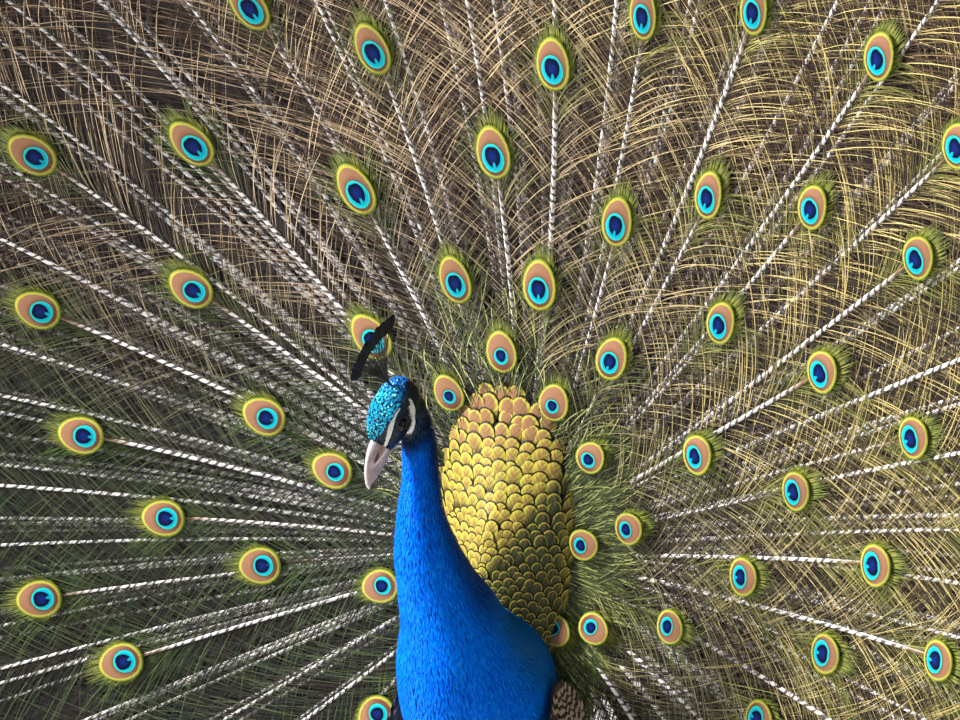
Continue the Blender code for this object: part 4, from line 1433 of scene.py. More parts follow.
# %% Eyes
def eyeball(side, name):
    ball = bmesh.new()
    bmesh.ops.create_uvsphere(ball, u_segments=40, v_segments=32, radius=EYE_RADIUS / 1000)
    polar = [max(min(corner.co.z / (EYE_RADIUS / 1000), 1), -1) for corner in ball.verts]
    for corner, height in zip(ball.verts, polar):
        corner.co *= 1 + 0.05 * max(height - 0.72, 0) / 0.28
    looks = Vector(HEAD_AXES[2] * side + 0.12 * HEAD_AXES[0]).normalized()
    turn = Vector((0, 0, 1)).rotation_difference(looks).to_matrix()
    bmesh.ops.rotate(ball, verts=ball.verts, cent=(0, 0, 0), matrix=turn)
    bmesh.ops.translate(ball, verts=ball.verts, vec=head_point(0.4, EYE_UP, side * (EYE_SPREAD + 1.5)))
    mesh = mesh_of("eye_" + name, ball)
    values = np.repeat(np.arccos(polar), 3).astype(np.float32)
    mesh.attributes.new("from_pole", "FLOAT_VECTOR", "POINT").data.foreach_set("vector", values)
    return mesh


def eye_glass(start):
    angle = carried(start, "from_pole").parts()[0]
    rays = cloud(start, 1400, 3)
    iris = rays.step(0.3, 0.7).tint((0.014, 0.006, 0.004), (0.032, 0.012, 0.006))
    paint = angle.step(0.43, 0.38).tint(iris, (0.002, 0.002, 0.002))
    return {"Base Color": angle.step(0.56, 0.66).tint(paint, (0.006, 0.004, 0.005))}


SIDES = ((1, "left"), (-1, "right"))
eye_finish = finish("eye_glass", eye_glass, Roughness=0.1, Specular_IOR_Level=0.3)
for side, name in SIDES:
    dressed("eyeball_" + name, eyeball(side, name), eye_finish, "eye", "eye_" + name)

# %% [markdown]
# The bill is horn: an arched upper half with a ridge along its top and a slit nostril on each side, and a
# thinner lower half tucked under it. Both are runs of rings; ridge and nostril are pushed into the rings'
# points before they are wrapped.

# %% Bill
BILL_UPPER = ((27, 9.8, 9.4, -14.5), (32, 9.1, 9.2, -15.0), (37, 8.2, 8.2, -15.4), (48, 6.2, 4.2, -16.5),
              (58, 4.4, -2.2, -17.6), (66, 2.7, -9.6, -18.8), (70.5, 1.3, -15.8, -20.4),
              (71.8, 0.4, -19.0, -21.2))
NOSTRIL = ((33.5, 0.6, 0.2), (37, 0.2, 0.9), (42, -1.4, 0.8), (46, -3.0, 0.1))


def carved_bill(rings):
    """The upper bill's rings with its top ridge raised, nostrils sunk and the rims of both drawn up."""
    local = in_head(rings)
    centre = local.mean(1, keepdims=True)
    forward, up, left = np.moveaxis(local, -1, 0)
    away = unit(local - centre)
    outside = beside(np.stack((forward, up), -1).reshape(-1, 2), NOSTRIL).reshape(forward.shape)
    sunk = -1.7 * (1 - smooth_step(outside, -0.4, 0.5)) + 0.35 * np.exp(-((outside - 1.3) / 0.7) ** 2)
    ridge = 0.55 * np.exp(-(left / 1.5) ** 2) * (up > centre[..., 1])
    swell = 0.45 * np.exp(-((forward - 40) / 6) ** 2) * smooth_step(np.abs(left), 2, 5)
    local = local + away * ((sunk * (np.abs(left) > 2.5) + swell) + ridge)[..., None]
    return HEAD_AT + local / 1000 @ HEAD_AXES


def horn(start):
    forward, up, left = carried(start, "local").parts()
    grain = cloud(start, 420, 3)
    flush = cloud(start, 90, 2)
    base = flush.step(0.35, 0.7).tint((0.34, 0.25, 0.26), (0.52, 0.43, 0.45))
    cheek = (((forward - 37) / 12) ** 2 + ((up + 1.5 + (forward - 37) * 0.3) / 4.2) ** 2).root()
    nostril = (((forward - 40) / 6.6) ** 2 + ((up + 0.9 + (forward - 40) * 0.3) / 1.35) ** 2).step(1.25, 0.55)
    stripe = (up + 6.2 - (forward - 30) * 0.06) / 1.7
    lip = up + 14.6 + (forward - 27).most(0) * 0.085
    base = coated(
        base,
        (cheek.step(1.15, 0.45) * 0.65, (0.22, 0.1, 0.1)),
        (forward.step(52, 70) * 0.6, (0.46, 0.38, 0.38)),
        (abs(left).step(2.4, 0.8) * 0.85, (0.92, 0.86, 0.88)),
        # Painted shade: the nostril slit is painted nearly black, as the shade inside it
        (nostril * abs(left).step(2.4, 3.2), (0.05, 0.016, 0.016)),
        ((stripe * stripe).step(1.2, 0.3) * forward.step(52, 44) * 0.75, (0.86, 0.82, 0.78)),
        (forward.step(29.5, 27.0) * 0.6, (0.3, 0.2, 0.18)),
        # Painted shade: a dark line along the upper bill's lower rim, in the gape
        (lip.step(1.3, 0.3) * forward.step(62, 52) * 0.75, (0.11, 0.075, 0.075)))
    return {"Base Color": base, "Normal": bumped(grain, 0.0004, 0.7)}


def lower_horn(start):
    grain = cloud(start, 500, 3)
    base = grain.step(0.3, 0.7).tint((0.3, 0.27, 0.27), (0.46, 0.42, 0.41))
    return {"Base Color": base, "Normal": bumped(grain, 0.0004, 0.6)}


def horn_piece(name, rings, material, node):
    mesh = mesh_of(name, wrapped(rings))
    local = in_head(np.array([corner.co for corner in mesh.vertices]) - STANCE)
    mesh.attributes.new("local", "FLOAT_VECTOR", "POINT").data.foreach_set("vector", local.ravel())
    return dressed(name, mesh, material, "bill", node)


horn_piece("upper_bill", carved_bill(head_rings(BILL_UPPER, 60, 64, 0.2)),
           finish("horn_pink", horn, Roughness=0.34), "bill_upper")
BILL_LOWER = [(along, half * 0.88, bottom + 1.0, bottom - deep) for (along, half, _, bottom), deep in zip(
    BILL_UPPER[:1] + BILL_UPPER[2:5], (5.4, 5.2, 4.3, 3.2))] + [(64.5, 1.6, -18.4, -20.9)]
horn_piece("lower_bill", head_rings(BILL_LOWER, 40, 40, 0.7),
           finish("horn_grey", lower_horn, Roughness=0.4), "bill_lower")

# %% [markdown]
# The crest is a fan of bare quills, each with a small flag at its end. The flags nearly touch, and from
# the front the fan is seen almost edge on.

# %% Crest
CREST_QUILLS, QUILL_HAIRS, CREST_LENGTH = 30, 20, 67.0


def crest_fan():
    turn = np.linspace(radians(77), radians(143), CREST_QUILLS) + chance.normal(0, 0.006, CREST_QUILLS)
    middle = radians(108)
    lean = chance.normal(0, 0.35, CREST_QUILLS)
    reach = CREST_LENGTH * np.linspace(0.93, 1.1, CREST_QUILLS) * chance.normal(1.0, 0.004, CREST_QUILLS)

    def on_quill(which, share, stretch):
        """Places on the quills numbered, at shares of their length, and the angles at which they stand."""
        angle = middle + (turn[which] - middle) * (0.28 + 0.72 * share)
        out = 1.5 + share * reach[which] * stretch
        sideways = lean[which] * (0.3 + 1.4 * share)
        return head_point(-30 + out * np.cos(angle), 21.0 + out * np.sin(angle), sideways), angle

    patches = on_skin(head_point(np.full(CREST_QUILLS, -30.0), 21.0))[2]
    every = np.arange(CREST_QUILLS)[:, None]
    quill, flag = np.zeros(CREST_QUILLS), np.ones(CREST_QUILLS)
    made = Plumage()
    paths = on_quill(every, np.linspace(0, 0.86, 9), 1.02)[0]
    for facing in (1, -1):
        made.add(paths, facing * HEAD_AXES[2], 0.00052, patches, bulge=0.9, tone=quill)
    paths = on_quill(every, np.linspace(0.8, 1.02, 9), 1.02)[0]
    across = unit(np.cross(np.gradient(paths, axis=1), HEAD_AXES[2]))
    halves = 0.0048 * np.interp(even(9), (0, 0.2, 0.6, 0.85, 1), (0.25, 0.85, 1.0, 0.85, 0.3))
    made.add(paths, across, halves, patches, bulge=0.25, tone=flag)
    which = np.repeat(np.arange(CREST_QUILLS), QUILL_HAIRS)
    root, angle = on_quill(which, chance.uniform(0.28, 0.72, len(which)), 1.0)
    way = np.outer(np.cos(angle), HEAD_AXES[0]) + np.outer(np.sin(angle), HEAD_AXES[1])
    way = unit(way + chance.normal(0, 0.3, way.shape))
    knots = even(3)[None, :, None]
    return made.add(root[:, None] + way[:, None] * knots * 0.0045, unit(np.cross(way, HEAD_AXES[2]))[:, None],
                    0.00013, patches[which], across=1, tone=quill[which])


def crest_paint(start):
    _, along, chosen = vane(start)
    flag = tone_of(start)
    quill = chosen.tint((0.022, 0.019, 0.019), (0.075, 0.066, 0.064))
    tip = (chosen * 0.6 + along * 0.4).step(0.4, 1.0).tint((0.001, 0.002, 0.007), (0.002, 0.016, 0.07))
    return {"Base Color": flag.tint(quill, tip)}


crest_fan().piece(
    "crest_fan", finish("crest_navy", crest_paint, Roughness=0.38, Metallic=0.2), "crest", "crest")

# %% [markdown]
# Between the neck and the train the back is a shield of golden scales. Their round tips point up, because
# the whole back is tipped up with the train, so each row covers the foot of the row above it. They are
# largest at the top, where the last rows already have the bronze disc of an eye.

# %% The shield's surface
SHIELD_TOP, SHIELD_BOTTOM, SHIELD_MIDDLE, SHIELD_HALF_WIDTH = 0.745, 0.39, 0.6, 0.079


def shield_reach(upper):
    """The shield's half height above its middle, or below it."""
    return np.where(upper, SHIELD_TOP - SHIELD_MIDDLE, SHIELD_MIDDLE - SHIELD_BOTTOM)


def shield_point(across, height, proud=0.0):
    """A place on the golden shield, proud metres in front of it."""
    reach = shield_reach(height > SHIELD_MIDDLE)
    out = np.hypot(across / SHIELD_HALF_WIDTH, (height - SHIELD_MIDDLE) / reach)
    edge = np.clip(1.05 - out, 0, 1)
    slope = np.clip((SHIELD_TOP - height) / (SHIELD_TOP - 0.48), 0, 1)
    swell = 0.0065 + (0.01 + 0.08 * slope**0.9) * edge**0.6
    return dish(across, height - FAN_HUB[2], -0.003 - swell - proud)


def shield_rows():
    """Across, height, width and row number of each scale, in staggered rows from the top down."""
    height, number, found = SHIELD_TOP - 0.005, 0, []
    while height > SHIELD_BOTTOM - 0.004:
        width = np.interp(height, (0.39, 0.5, 0.6, 0.7, 0.745), (0.0085, 0.012, 0.0155, 0.0205, 0.0245))
        rise = (height - SHIELD_MIDDLE) / shield_reach(height > SHIELD_MIDDLE)
        half = SHIELD_HALF_WIDTH * sqrt(max(1 - rise**2, 0.01)) + 0.002
        step = width * 0.8
        for across in np.arange(-half, half + step, step) + (number % 2) * step / 2:
            if abs(across) < half + 0.003:
                found.append((across, height, width, number))
        height -= width * 0.6
        number += 1
    return np.array(found)


SCALE_ROWS = 9


def scales():
    across, height, width, number = shield_rows().T
    across = across + chance.normal(0, 0.09, len(across)) * width
    height = height + chance.normal(0, 0.1, len(across)) * width * (number > 0)
    height = np.minimum(height, SHIELD_TOP - 0.002)
    width = width * chance.normal(1, 0.07, len(across))
    fan_out = (across * 4.2 + chance.normal(0, 0.1, len(across)))[:, None]
    share = even(SCALE_ROWS)
    tip = np.clip((share - 0.5) * pi, 0, None)
    run = np.where(share < 0.5, share * 1.1, 0.55 + 0.45 * np.sin(tip))
    outline = np.where(share < 0.5, 0.62 + 0.76 * share, np.maximum(np.cos(tip), 0.06))
    place = (run - 0.62) * (width * 1.55)[:, None]
    x = across[:, None] + place * np.sin(fan_out)
    z = height[:, None] + place * np.cos(fan_out)
    proud = 0.0004 + width[:, None] * (0.02 + 0.2 * run)
    paths = shield_point(x, z, proud)
    beside_it = shield_point(x + 0.002, z, proud) - shield_point(x - 0.002, z, proud)
    sides = square_to(beside_it, unit(np.gradient(paths, axis=1)))
    halves = 0.56 * width[:, None] * outline
    return Plumage().add(paths, sides, halves, train_patch(across, height - FAN_HUB[2]),
                         across=4, bulge=0.16, tone=smooth_step(height, 0.668, 0.712))


def scale_gold(start):
    side, share, chosen = vane(start)
    across, _, level = place_of(start).parts()
    top = tone_of(start)
    turn = ((share - 0.5) * pi).most(0.0)
    u = side * (turn + pi / 2).sine()
    q = turn.sine()
    edge = (u * u + q * q).root().most(abs(side))
    fibre = (abs(side) * 11 - share * 34).sine() * 0.5 + 0.5
    gold = chosen.tint((0.44, 0.36, 0.05), (0.68, 0.55, 0.085))
    green = cloud(start, 30, 2).step(0.4, 0.65)
    # Painted shadow: the neck's shadow on the lower scales of the bird's left side is painted in as a dark bottle
    # green, over the scales' own greener colour, and leaves a golden hem
    shadow_and_green = (across * 1.6 - level + 0.556).step(-0.014, 0.022) * across.step(0.08, 0.066)
    streak = abs(side).step(0.34, 0.06) * share.step(0.4, 0.7)
    disc = ((side / 0.6) ** 2 + ((share - 0.55) / 0.215) ** 2).root().step(1.06, 0.9)
    gold = coated(
        gold,
        (green * 0.35, (0.34, 0.4, 0.035)),
        (edge.step(0.76, 0.2) * 0.7, (0.27, 0.155, 0.055)),
        (fibre * edge.step(0.98, 0.45) * 0.5, (0.12, 0.09, 0.02)),
        (shadow_and_green * edge.step(0.76, 0.62) * 0.94, (0.016, 0.036, 0.015)),
        (shadow_and_green * 0.3, (0.06, 0.085, 0.024)),
        (streak * 0.38, (0.34, 0.15, 0.07)),
        (disc * top * 0.92, (0.29, 0.145, 0.075)))
    paint = edge.step(0.82, 0.88).tint(gold, (0.01, 0.006, 0.004))
    # Painted shade: the foot of each scale, tucked under the tip of the row below, is painted dark
    paint = (share.step(0.52, 0.22) * 0.85).tint(paint, (0.035, 0.03, 0.008))
    return {"Base Color": paint, "Normal": bumped(fibre, 0.0003, 0.5)}


scales().piece(
    "back_scales", finish("scale_gold", scale_gold, Roughness=0.5, Specular_IOR_Level=0.22), "shield")

# %% [markdown]
# Scales alone would let the light through where they gape. A dark cushion of the shield's own shape
# lies under them, closed against the train behind it, so that only shadow shows between them.

# %% The shield's cushion
def under_shield():
    turn = tau * np.arange(48) / 48
    share = np.linspace(0.97, 0.03, 14)[:, None]
    across = SHIELD_HALF_WIDTH * np.cos(turn) * share
    height = SHIELD_MIDDLE + shield_reach(np.sin(turn) > 0) * np.sin(turn) * share
    back = dish(across, height - FAN_HUB[2], -0.001)
    return wrapped(np.concatenate((back[::-1], shield_point(across, height, -0.0012))))


def cushion_brown(start):
    cloudy = cloud(start, 200, 3).step(0.3, 0.7)
    return {"Base Color": cloudy.tint((0.02, 0.018, 0.006), (0.04, 0.034, 0.01))}


shaped("shield_cushion", under_shield(), finish("cushion_brown", cushion_brown, Roughness=0.7),
       "shield", "back_shield")

# %% [markdown]
# Round the shield's sides the shortest train feathers stand so close that their green barbs hide the bare
# shafts. A ruff of short bowed threads leaves the shield's edge all round for this.

# %% The green ruff
def ruff(count=3000):
    # Most threads stand on the bird's left side, the rest all round
    at_left = chance.random(count) < 0.8
    turn = np.where(at_left, chance.uniform(-1.15, 0.45, count), chance.uniform(-pi, pi, count))
    ring_out = chance.uniform(0.9, 1.6, count)
    reach = np.where(np.sin(turn) > 0, SHIELD_TOP - SHIELD_MIDDLE, 0.15)
    across = SHIELD_HALF_WIDTH * np.cos(turn) * ring_out
    up = SHIELD_MIDDLE + reach * np.sin(turn) * ring_out - FAN_HUB[2]
    heading = np.arctan2(across, up) + chance.normal(0, 0.16, count)
    bend = chance.choice((-1.0, 1.0), count) * chance.uniform(0.2, 0.9, count)
    length = chance.uniform(0.034, 0.058, count)
    knots = even(6)
    angle = heading[:, None] + bend[:, None] * knots
    run = np.cumsum(np.stack((np.sin(angle), np.cos(angle)), -1) * (length / 5)[:, None, None], axis=1)
    behind = -0.0235 + 0.01 * (ring_out[:, None] - 0.9) - 0.002 * np.sin(pi * knots) + 0.012 * knots
    paths = dish(across[:, None] + run[..., 0], up[:, None] + run[..., 1], behind)
    chance.random(count)    # drawn so that all later draws stay as they are
    free = np.linalg.norm(paths[:, 0] - spine(14.5)[0], axis=1) > 0.03
    return Plumage().add(paths[free], level_sides(angle)[free], 0.0005 * (1 - 0.6 * knots**2),
                         train_patch(across, up)[free], across=1)


def ruff_green(start):
    _, along, chosen = vane(start)
    base = chosen.tint((0.014, 0.03, 0.014), (0.18, 0.23, 0.05))
    # Painted highlight: some threads are painted pale gold, as if catching the light
    base = (chosen.step(0.68, 0.92) * 0.85).tint(base, (0.6, 0.62, 0.22))
    return {"Base Color": base.shade(along.step(-0.1, 0.5) * 0.6 + 0.4)}


ruff().piece("shield_ruff", finish("ruff_green", ruff_green, Roughness=0.42, Metallic=0.15), "shield")

# %% [markdown]
# The wings droop at the bird's sides while it displays, half hidden by the train. Short barred coverts
# lie in rows over long rufous flight feathers, on the same curved sheet that shaped the solids.

# %% The wing's sheet
def pulled_curve(start, pull, end, share):
    """Places on the curve from start to end, pulled towards the middle point."""
    share = np.asarray(share)[..., None]
    start, pull, end = map(np.array, (start, pull, end))
    return (1 - share) ** 2 * start + 2 * share * (1 - share) * pull + share**2 * end


def wing_point(side, down, across, proud=0.0):
    """A place on a wing, from its shoulder down and from its front edge back; proud metres outside it."""
    front = pulled_curve((0.036, 0.437), (-0.08, 0.3), (0.006, 0.205), down)
    rear = pulled_curve((0.05, 0.44), (0.13, 0.345), (0.19, 0.2), down)
    level = front + (rear - front) * np.asarray(across)[..., None]
    out = 0.084 + 0.04 * down + 0.005 * np.sin(pi * across) * down + proud
    return np.stack((side * out, level[..., 0], level[..., 1]), -1)


COVERT_ROWS = 7


def vane_outline(rows, narrow=0.45, tip=0.62):
    """Half widths of a round-ended feather, as shares of its widest."""
    share = even(rows)
    bent = np.clip((share - tip) / (1 - tip), 0, 1)
    foot = narrow + (1 - narrow) * np.sqrt(np.clip(share / tip, 0, 1))
    return np.where(share < tip, foot, np.sqrt(1 - bent**2 * 0.97))


def coverts(side):
    downs, acrosses, widths = [], [], []
    for number, down in enumerate(np.linspace(0.02, 0.93, 26)):
        span = float(np.linalg.norm(wing_point(1, down, 1.0) - wing_point(1, down, 0.0)))
        width = 0.0085 + 0.0055 * down
        count = max(int(span / (width * 0.85)), 3)
        acrosses.append((np.arange(count + 1) - 0.25 + 0.5 * (number % 2)) / count)
        downs.append(np.full(count + 1, down))
        widths.append(np.full(count + 1, width))
    down, across, width = map(np.concatenate, (downs, acrosses, widths))
    across = np.clip(across, 0.0, 1.0)
    share = even(COVERT_ROWS)
    below = down[:, None] + (0.085 + 0.05 * down)[:, None] * share
    paths = wing_point(side, below, across[:, None] + 0.02 * share, 0.0042 + 0.003 * share)
    middle = wing_point(side, below, across[:, None], 0.0042)
    back = wing_point(side, below, across[:, None] + 0.05, 0.0042) - middle
    sides = square_to(back, unit(np.gradient(paths, axis=1))) * side
    halves = width[:, None] * 0.62 * vane_outline(COVERT_ROWS) * chance.normal(1, 0.05, len(width))[:, None]
    patches = np.stack((0.5 + side * (0.05 + 0.4 * across), 0.5 - 0.45 * down), -1)
    return Plumage().add(paths, sides, halves, patches, across=4, bulge=0.14)


def barred(start):
    side, along, chosen = vane(start)
    drift = cloud(start, 180, 2)
    bars = (along * 15 + abs(side) * 2.4 + chosen * 5 + drift * 3).sine().step(-0.15, 0.35)
    dark = chosen.tint((0.022, 0.017, 0.014), (0.045, 0.034, 0.026))
    return {"Base Color": bars.tint(dark, (0.62, 0.47, 0.31)),
            "Normal": bumped((abs(side) * 24 - along * 60).sine(), 0.0003, 0.5)}


barred_finish = finish("covert_barred", barred, Roughness=0.5)
for side, name in SIDES:
    coverts(side).piece("wing_barred_" + name, barred_finish, "wing_coverts")

# %% [markdown]
# The solid sheet under the coverts stays as the wing's bed and only gets a dark, finely streaked finish.
# Every other solid is replaced by its finished piece.

# %% The wing's bed
def bed_dark(start):
    streak = place_of(start).stretched(160, 160, 20).noise(1.0, 3)
    return {"Base Color": streak.step(0.35, 0.65).tint((0.026, 0.02, 0.016), (0.075, 0.055, 0.04))}


bed_finish = finish("wing_bed", bed_dark, Roughness=0.7)
for name in ("wing_coverts_left", "wing_coverts_right"):
    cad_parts[name].material_slots[0].material = bed_finish
print("two solids keep their shape as the wings' beds")

# %% [markdown]
# Flight feathers are long and stiff. They are rufous with a pale shaft, and lie like the sticks of a
# folded fan, each over the next. They stand in for the thin fan solid.

# %% Flight feathers
FLIGHT_FEATHERS, FLIGHT_ROWS = 15, 14


def flight_feathers(side):
    angle = np.linspace(radians(-1), radians(43), FLIGHT_FEATHERS)[:, None]
    share = even(FLIGHT_ROWS)
    longest = 0.288 * (1 - 0.05 * np.abs(np.linspace(-1, 1, FLIGHT_FEATHERS))[:, None])
    out = 0.085 + (longest - 0.085) * share
    drop = out * np.cos(angle)
    layer = 0.0012 * (np.arange(FLIGHT_FEATHERS) % 2)[:, None]
    level = side * (0.0982 + 0.045 * (drop / 0.29) ** 2 - 0.0016 - layer - 0.0004 * share)
    paths = np.stack((level, out * np.sin(angle), 0.35 - drop), -1)
    back = np.stack((0 * angle, np.cos(angle), np.sin(angle)), -1)
    sides = square_to(back, unit(np.gradient(paths, axis=1))) * side
    halves = (0.0052 + 0.0085 * out / 0.29) * vane_outline(FLIGHT_ROWS, 0.7, 0.86)
    order = even(FLIGHT_FEATHERS)
    tone = np.outer(order, (1, 0, 0))
    patches = 0.5 + side * np.outer(0.05 + 0.4 * order, (1, 0))
    made = Plumage().add(paths, sides, halves, patches, across=6, bulge=0.1, tone=tone)
    for facing, proud in ((1, 0.0006), (-1, -0.0004)):
        made.add(paths + side * X_AXIS * proud, facing * sides, 0.0011 * (1 - 0.6 * share), patches,
                 bulge=0.8, tone=tone + (0, 1, 0))
    return made


def rufous(start):
    side, along, chosen = vane(start)
    order, quill, _ = carried(start, "tone").parts()
    lines = (abs(side) * 40 - along * 420).sine()
    base = chosen.tint((0.3, 0.115, 0.038), (0.42, 0.175, 0.062))
    base = coated(
        base,
        (order.step(0.45, 0.75) * 0.75, (0.05, 0.032, 0.024)),
        (along.step(0.8, 1.0) * 0.45, (0.11, 0.055, 0.03)),
        (lines.step(0.1, 0.9) * 0.22, (0.12, 0.045, 0.018)))
    return {"Base Color": quill.tint(base, (0.4, 0.26, 0.15)), "Normal": bumped(lines, 0.0004, 0.5)}


rufous_finish = finish("flight_rufous", rufous, Roughness=0.46)
for side, name in SIDES:
    flight_feathers(side).piece("wing_rufous_" + name, rufous_finish, "wing_flight", "wing_flight_" + name)

# %% [markdown]
# Behind the train stand the true tail feathers, stiff and grey-brown, which prop the fan up and are seen
# in full only from behind. Each is a broad vane with a pale shaft along its back.

# %% Tail feathers
TAIL_FEATHERS, TAIL_ROWS = 20, 14


def tail_feathers():
    angle = np.linspace(radians(-54), radians(54), TAIL_FEATHERS)[:, None]
    outer = 0.405 * (0.86 + 0.14 * np.cos(angle * 1.4))
    share = even(TAIL_ROWS)
    out = 0.062 + (outer - 0.062) * share
    behind = 0.015 + 0.0008 * (np.arange(TAIL_FEATHERS) % 2)[:, None]
    across, up = out * np.sin(angle), out * np.cos(angle)
    paths = dish(across, up, behind)
    halves = (0.0055 + 0.0245 * out / 0.405) * vane_outline(TAIL_ROWS, 0.8, 0.8)
    middle = train_patch(across[:, TAIL_ROWS // 2], up[:, TAIL_ROWS // 2])
    made = Plumage().add(paths, level_sides(angle), halves, middle, across=6, bulge=-0.02,
                         tone=np.zeros(TAIL_FEATHERS))
    return made.add(paths + (0, 0.0006, 0), -level_sides(angle), 0.0016 - 0.0011 * share, middle,
                    bulge=0.8, tone=np.ones(TAIL_FEATHERS))


def tail_grey(start):
    side, along, chosen = vane(start)
    quill = tone_of(start)
    lines = (abs(side) * 60 - along * 420).sine()
    mottle = cloud(start, 120, 3)
    base = mottle.step(0.35, 0.65).tint((0.085, 0.062, 0.05), (0.17, 0.13, 0.105))
    base = coated(
        base,
        (chosen * 0.35, (0.06, 0.05, 0.045)),
        (lines.step(0.0, 0.9) * 0.25, (0.045, 0.032, 0.026)))
    return {"Base Color": quill.tint(base, (0.42, 0.34, 0.27)), "Normal": bumped(lines, 0.0004, 0.5)}


tail_feathers().piece("tail_vanes", finish("tail_grey", tail_grey, Roughness=0.55), "tail", "tail")

# %% [markdown]
# Under the tail, on the rump and on the thighs the plumage is loose down. Its tufts start on the skin's
# own faces. They hang down and back, and on the rump they stand up behind the train. The thighs are buff,
# the rest grey-brown.

# %% Down
def down_tufts(allowed, count, lie, length, half, lift):
    roots = drawn_roots(allowed, count)
    normals = skin_looks[roots]
    way = turned(unit(np.array(lie)), normals, chance.normal(0, 0.35, len(roots)))
    size = chance.normal(1, 0.18, len(roots))
    return laid(skin_faces[roots], normals, way, face_patches[roots], length * size, half * size, lift,
                rows=5, across=2, bulge=0.2)


in_vent = (((skin_faces - VENT_AT) / (VENT_RADII - 0.008)) ** 2).sum(1) < 1.02
rump_run = spine(np.linspace(11.6, 14.8, 12))[0]
on_rump = np.linalg.norm(skin_faces[:, None] - rump_run[None], axis=2).min(1) < 0.062
face_x, face_y, face_z = np.abs(skin_faces[:, 0]), skin_faces[:, 1], skin_faces[:, 2]
on_thigh = (face_z < 0.345) & (face_z > 0.172) & (face_y < 0.16) & (np.abs(face_x - 0.052) < 0.036)


def down_finish(name, dark, pale, roughness):
    def paint(start):
        side, along, chosen = vane(start)
        base = (chosen * 0.6 + cloud(start, 70, 2) * 0.4).step(0.2, 0.8).tint(dark, pale)
        hairs = (side * 9 + chosen * 40).sine() * 0.5 + 0.5
        return {"Base Color": base.shade(along.step(-0.1, 0.6) * 0.4 + 0.45 + hairs * 0.2)}
    return finish(name, paint, Roughness=roughness)


down_tufts(in_vent, 2800, (0, 0.35, -0.9), 0.026, 0.0035, 0.007).piece(
    "vent_down", down_finish("down_grey", (0.05, 0.04, 0.034), (0.17, 0.14, 0.115), 0.75), "vent")
down_tufts(on_rump & ~in_vent, 2500, (0, -0.3, 0.95), 0.04, 0.004, 0.012).piece(
    "rump_down", down_finish("down_umber", (0.016, 0.013, 0.011), (0.06, 0.048, 0.038), 0.75), "vent")
down_tufts(on_thigh, 3100, (0, 0.12, -1.0), 0.018, 0.0024, 0.0035).piece(
    "thigh_down", down_finish("down_buff", (0.2, 0.145, 0.095), (0.44, 0.34, 0.24), 0.7), "thigh")

# %% [markdown]
# Where the thigh leaves the body the rows round the spine have no room, so the flank gets tufts of its
# own, in the body's silk.

# %% Flanks
on_flank = (face_z > 0.315) & (face_z < 0.45) & (face_x > 0.022) & (face_y < 0.175) & ~on_thigh & ~in_vent


def flank_tufts():
    roots = drawn_roots(on_flank, 2200)
    places, normals = skin_faces[roots], skin_looks[roots]
    way = turned(unit(np.array((0, 0.55, -0.85))), normals, chance.normal(0, 0.2, len(roots)))
    length = 0.02 * chance.normal(1, 0.15, len(roots))
    return laid(places, normals, way, face_patches[roots], length, 0.0022, 0.004,
                marks=np.zeros(len(roots)), shades=body_marks(places, *nearest_station(places)))


flank_tufts().piece("flank_plumage", silk_finish, "body")

# %% [markdown]
# The legs are bare and scaly. Broad scutes run down the front of each shank, and small scales cover the
# rest. The scutes are pushed into the rings; the small scales are a bump, since they are only a
# millimetre across. The male's spur points back.

# %% Shanks
SHANK = ((0, 0.0085, 0.0105), (0.08, 0.0088, 0.01), (0.2, 0.0062, 0.0072), (0.85, 0.0056, 0.0066),
         (1, 0.0068, 0.0078))
LEG_STAGGER = 0.012


def foot_base(side):
    return np.array((side * 0.057, 0.05 - LEG_STAGGER * side, 0))


def shank(side):
    stagger = -LEG_STAGGER * side
    ankle = foot_base(side) + UP * 0.022
    hock = np.array((side * 0.055, 0.096 + stagger * 0.6, 0.175))
    share = np.linspace(0.008, 0.996, 150)
    axis = unit(ankle - hock)
    back = square_to(Y_AXIS, axis)
    centre = hock + share[:, None] * (ankle - hock)
    rings = ring(centre, np.cross(back, axis), back, *read_table(SHANK, share), count=28)
    away = unit(rings - centre[:, None])
    front = smooth_step(-(away * back).sum(-1), 0.25, 0.75)
    scute = 0.00042 * (np.sin(pi * (share * 26 % 1)) ** 0.5)[:, None] * front
    root = ankle + 0.3 * (hock - ankle) + back * 0.002
    share = even(14)
    axis = unit(np.array((0, 0.024, 0.004)))
    centre = root + share[:, None] * axis * 0.024 + UP * (0.0016 * share**2)[:, None]
    size = 0.0041 - 0.0035 * share**0.8
    spur = ring(centre, X_AXIS, np.cross(X_AXIS, axis), size, size, count=20)
    return joined(wrapped(rings + away * (scute - 0.0004)[..., None]), wrapped(spur))


def scaly(start):
    grid = place_of(start).stretched(1, 1, 0.7)
    cells = grid.node("ShaderNodeTexVoronoi", {"feature": "DISTANCE_TO_EDGE"}, 0, Vector=grid, Scale=620)
    seam = cells.step(0.0, 0.16)
    drift = cloud(start, 45, 3)
    base = drift.step(0.3, 0.7).tint((0.2, 0.165, 0.13), (0.34, 0.285, 0.235))
    return {"Base Color": seam.tint((0.085, 0.065, 0.05), base), "Normal": bumped(seam, 0.0004, 0.8)}


scaly_finish = finish("leg_scales", scaly, Roughness=0.42)
for side, name in SIDES:
    shaped("shank_scaled_" + name, shank(side), scaly_finish, "leg", "shank_" + name)

# %% [markdown]
# Each foot has three toes forward and one back, with a pad under every joint and a claw at the end. The
# toes stand flat on the floor, so the underside of each ring is pressed level.

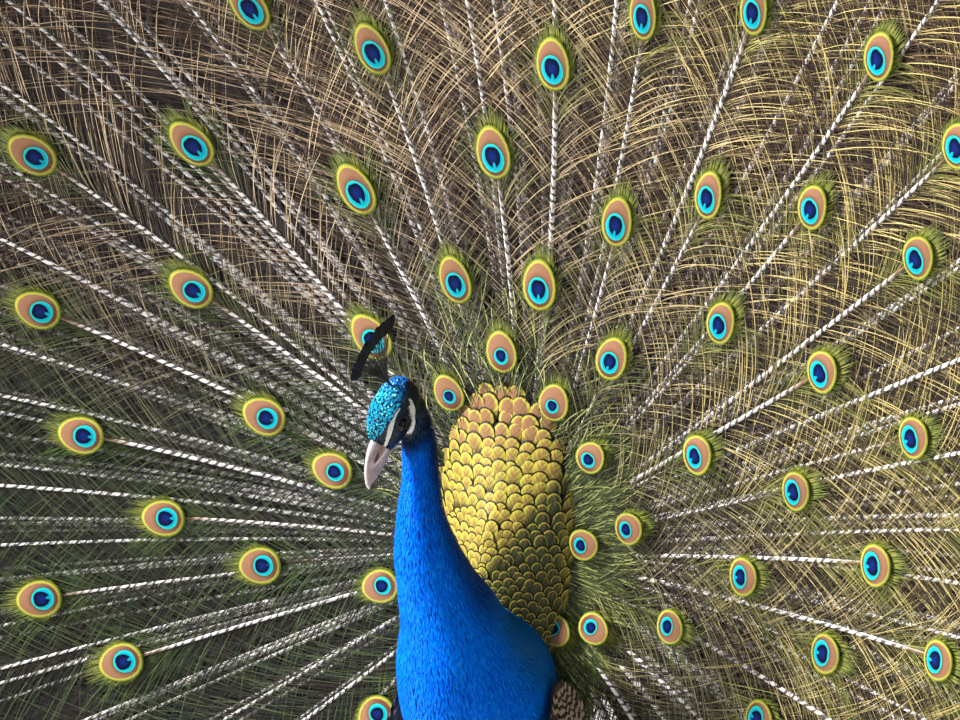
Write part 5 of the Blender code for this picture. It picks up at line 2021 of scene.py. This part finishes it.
# %% Feet
# Digit, heading outward from straight ahead in degrees, and length
TOES = (("1", 158, 0.03), ("2", -33, 0.056), ("3", 4, 0.076), ("4", 34, 0.062))
TOE_SHAPE = ((0, 0.98), (0.18, 1.0), (0.32, 0.84), (0.5, 0.95), (0.64, 0.76), (0.8, 0.84), (0.93, 0.66),
             (1.0, 0.45))
TOE_RADIUS, TOE_HEIGHT = 0.0066, 0.0056
# Height, half widths across and lengthwise, and set-back; the top row ends inside the shank
ANKLE = ((0.034, 0.0046, 0.0054, 0.0036), (0.026, 0.0069, 0.0079, 0.0012), (0.015, 0.0081, 0.0092, -0.0006),
         (0.006, 0.0094, 0.011, -0.0015), (0.0004, 0.0098, 0.0112, -0.002))


def toe_way(side, heading):
    return np.array((side * sin(radians(heading)), -cos(radians(heading)), 0))


def toe(side, digit, heading, length):
    share = even(60)
    along = toe_way(side, heading)
    size = TOE_RADIUS * (0.85 if digit == "1" else 1.0) * softened(share, *np.array(TOE_SHAPE).T)
    height = TOE_HEIGHT * (1 - 0.22 * share)
    centre = foot_base(side) + along * (length * share)[:, None] + UP * height[:, None]
    rings = ring(centre, np.cross(along, UP), UP, size, size, count=28)
    away = unit(rings - centre[:, None])
    step = (share * length / 0.0048) % 1.0
    scute = 0.00036 * (np.sin(pi * step) ** 0.5)[:, None] * smooth_step(away[..., 2], 0.2, 0.7)
    rings = rings + away * (scute - 0.0003)[..., None]
    rings[..., 2] = np.maximum(rings[..., 2], 0.0001)
    return wrapped(rings)


def foot(side):
    columns, places = np.array(ANKLE).T, even(len(ANKLE))
    z, wide, deep, ahead = (np.interp(even(30), places, column) for column in columns)
    centre = foot_base(side) + np.stack((0 * z, ahead, z), -1)
    ankle = wrapped(ring(centre, X_AXIS, Y_AXIS, wide, deep, count=28))
    return joined(ankle, *(toe(side, *digit) for digit in TOES))


def claw(side, heading, length):
    share = even(18)
    along = toe_way(side, heading)
    centre = (foot_base(side) + along * (length - 0.0015 + 0.0158 * share)[:, None]
              + UP * (0.0048 + 0.0012 * np.sin(pi * share) - 0.0036 * share**2)[:, None])
    size = softened(share, np.array((0, 0.35, 0.7, 1.0)), np.array((0.0029, 0.0026, 0.0018, 0.0005)))
    return wrapped(ring(centre, np.cross(along, UP), UP, size * 0.8, size, size * 0.7, 20))


def claw_horn(start):
    grain = cloud(start, 380, 3)
    return {"Base Color": grain.step(0.3, 0.7).tint((0.05, 0.04, 0.034), (0.14, 0.115, 0.095)),
            "Normal": bumped(grain, 0.0003, 0.5)}


claw_finish = finish("claw_horn", claw_horn, Roughness=0.3)
for side, name in SIDES:
    shaped("foot_scaled_" + name, foot(side), scaly_finish, "leg", "foot_" + name)
    nails = joined(*(claw(side, heading, length) for _, heading, length in TOES))
    shaped("claws_" + name, nails, claw_finish, "claw", *(f"claw_{name}_{digit}" for digit, _, _ in TOES))
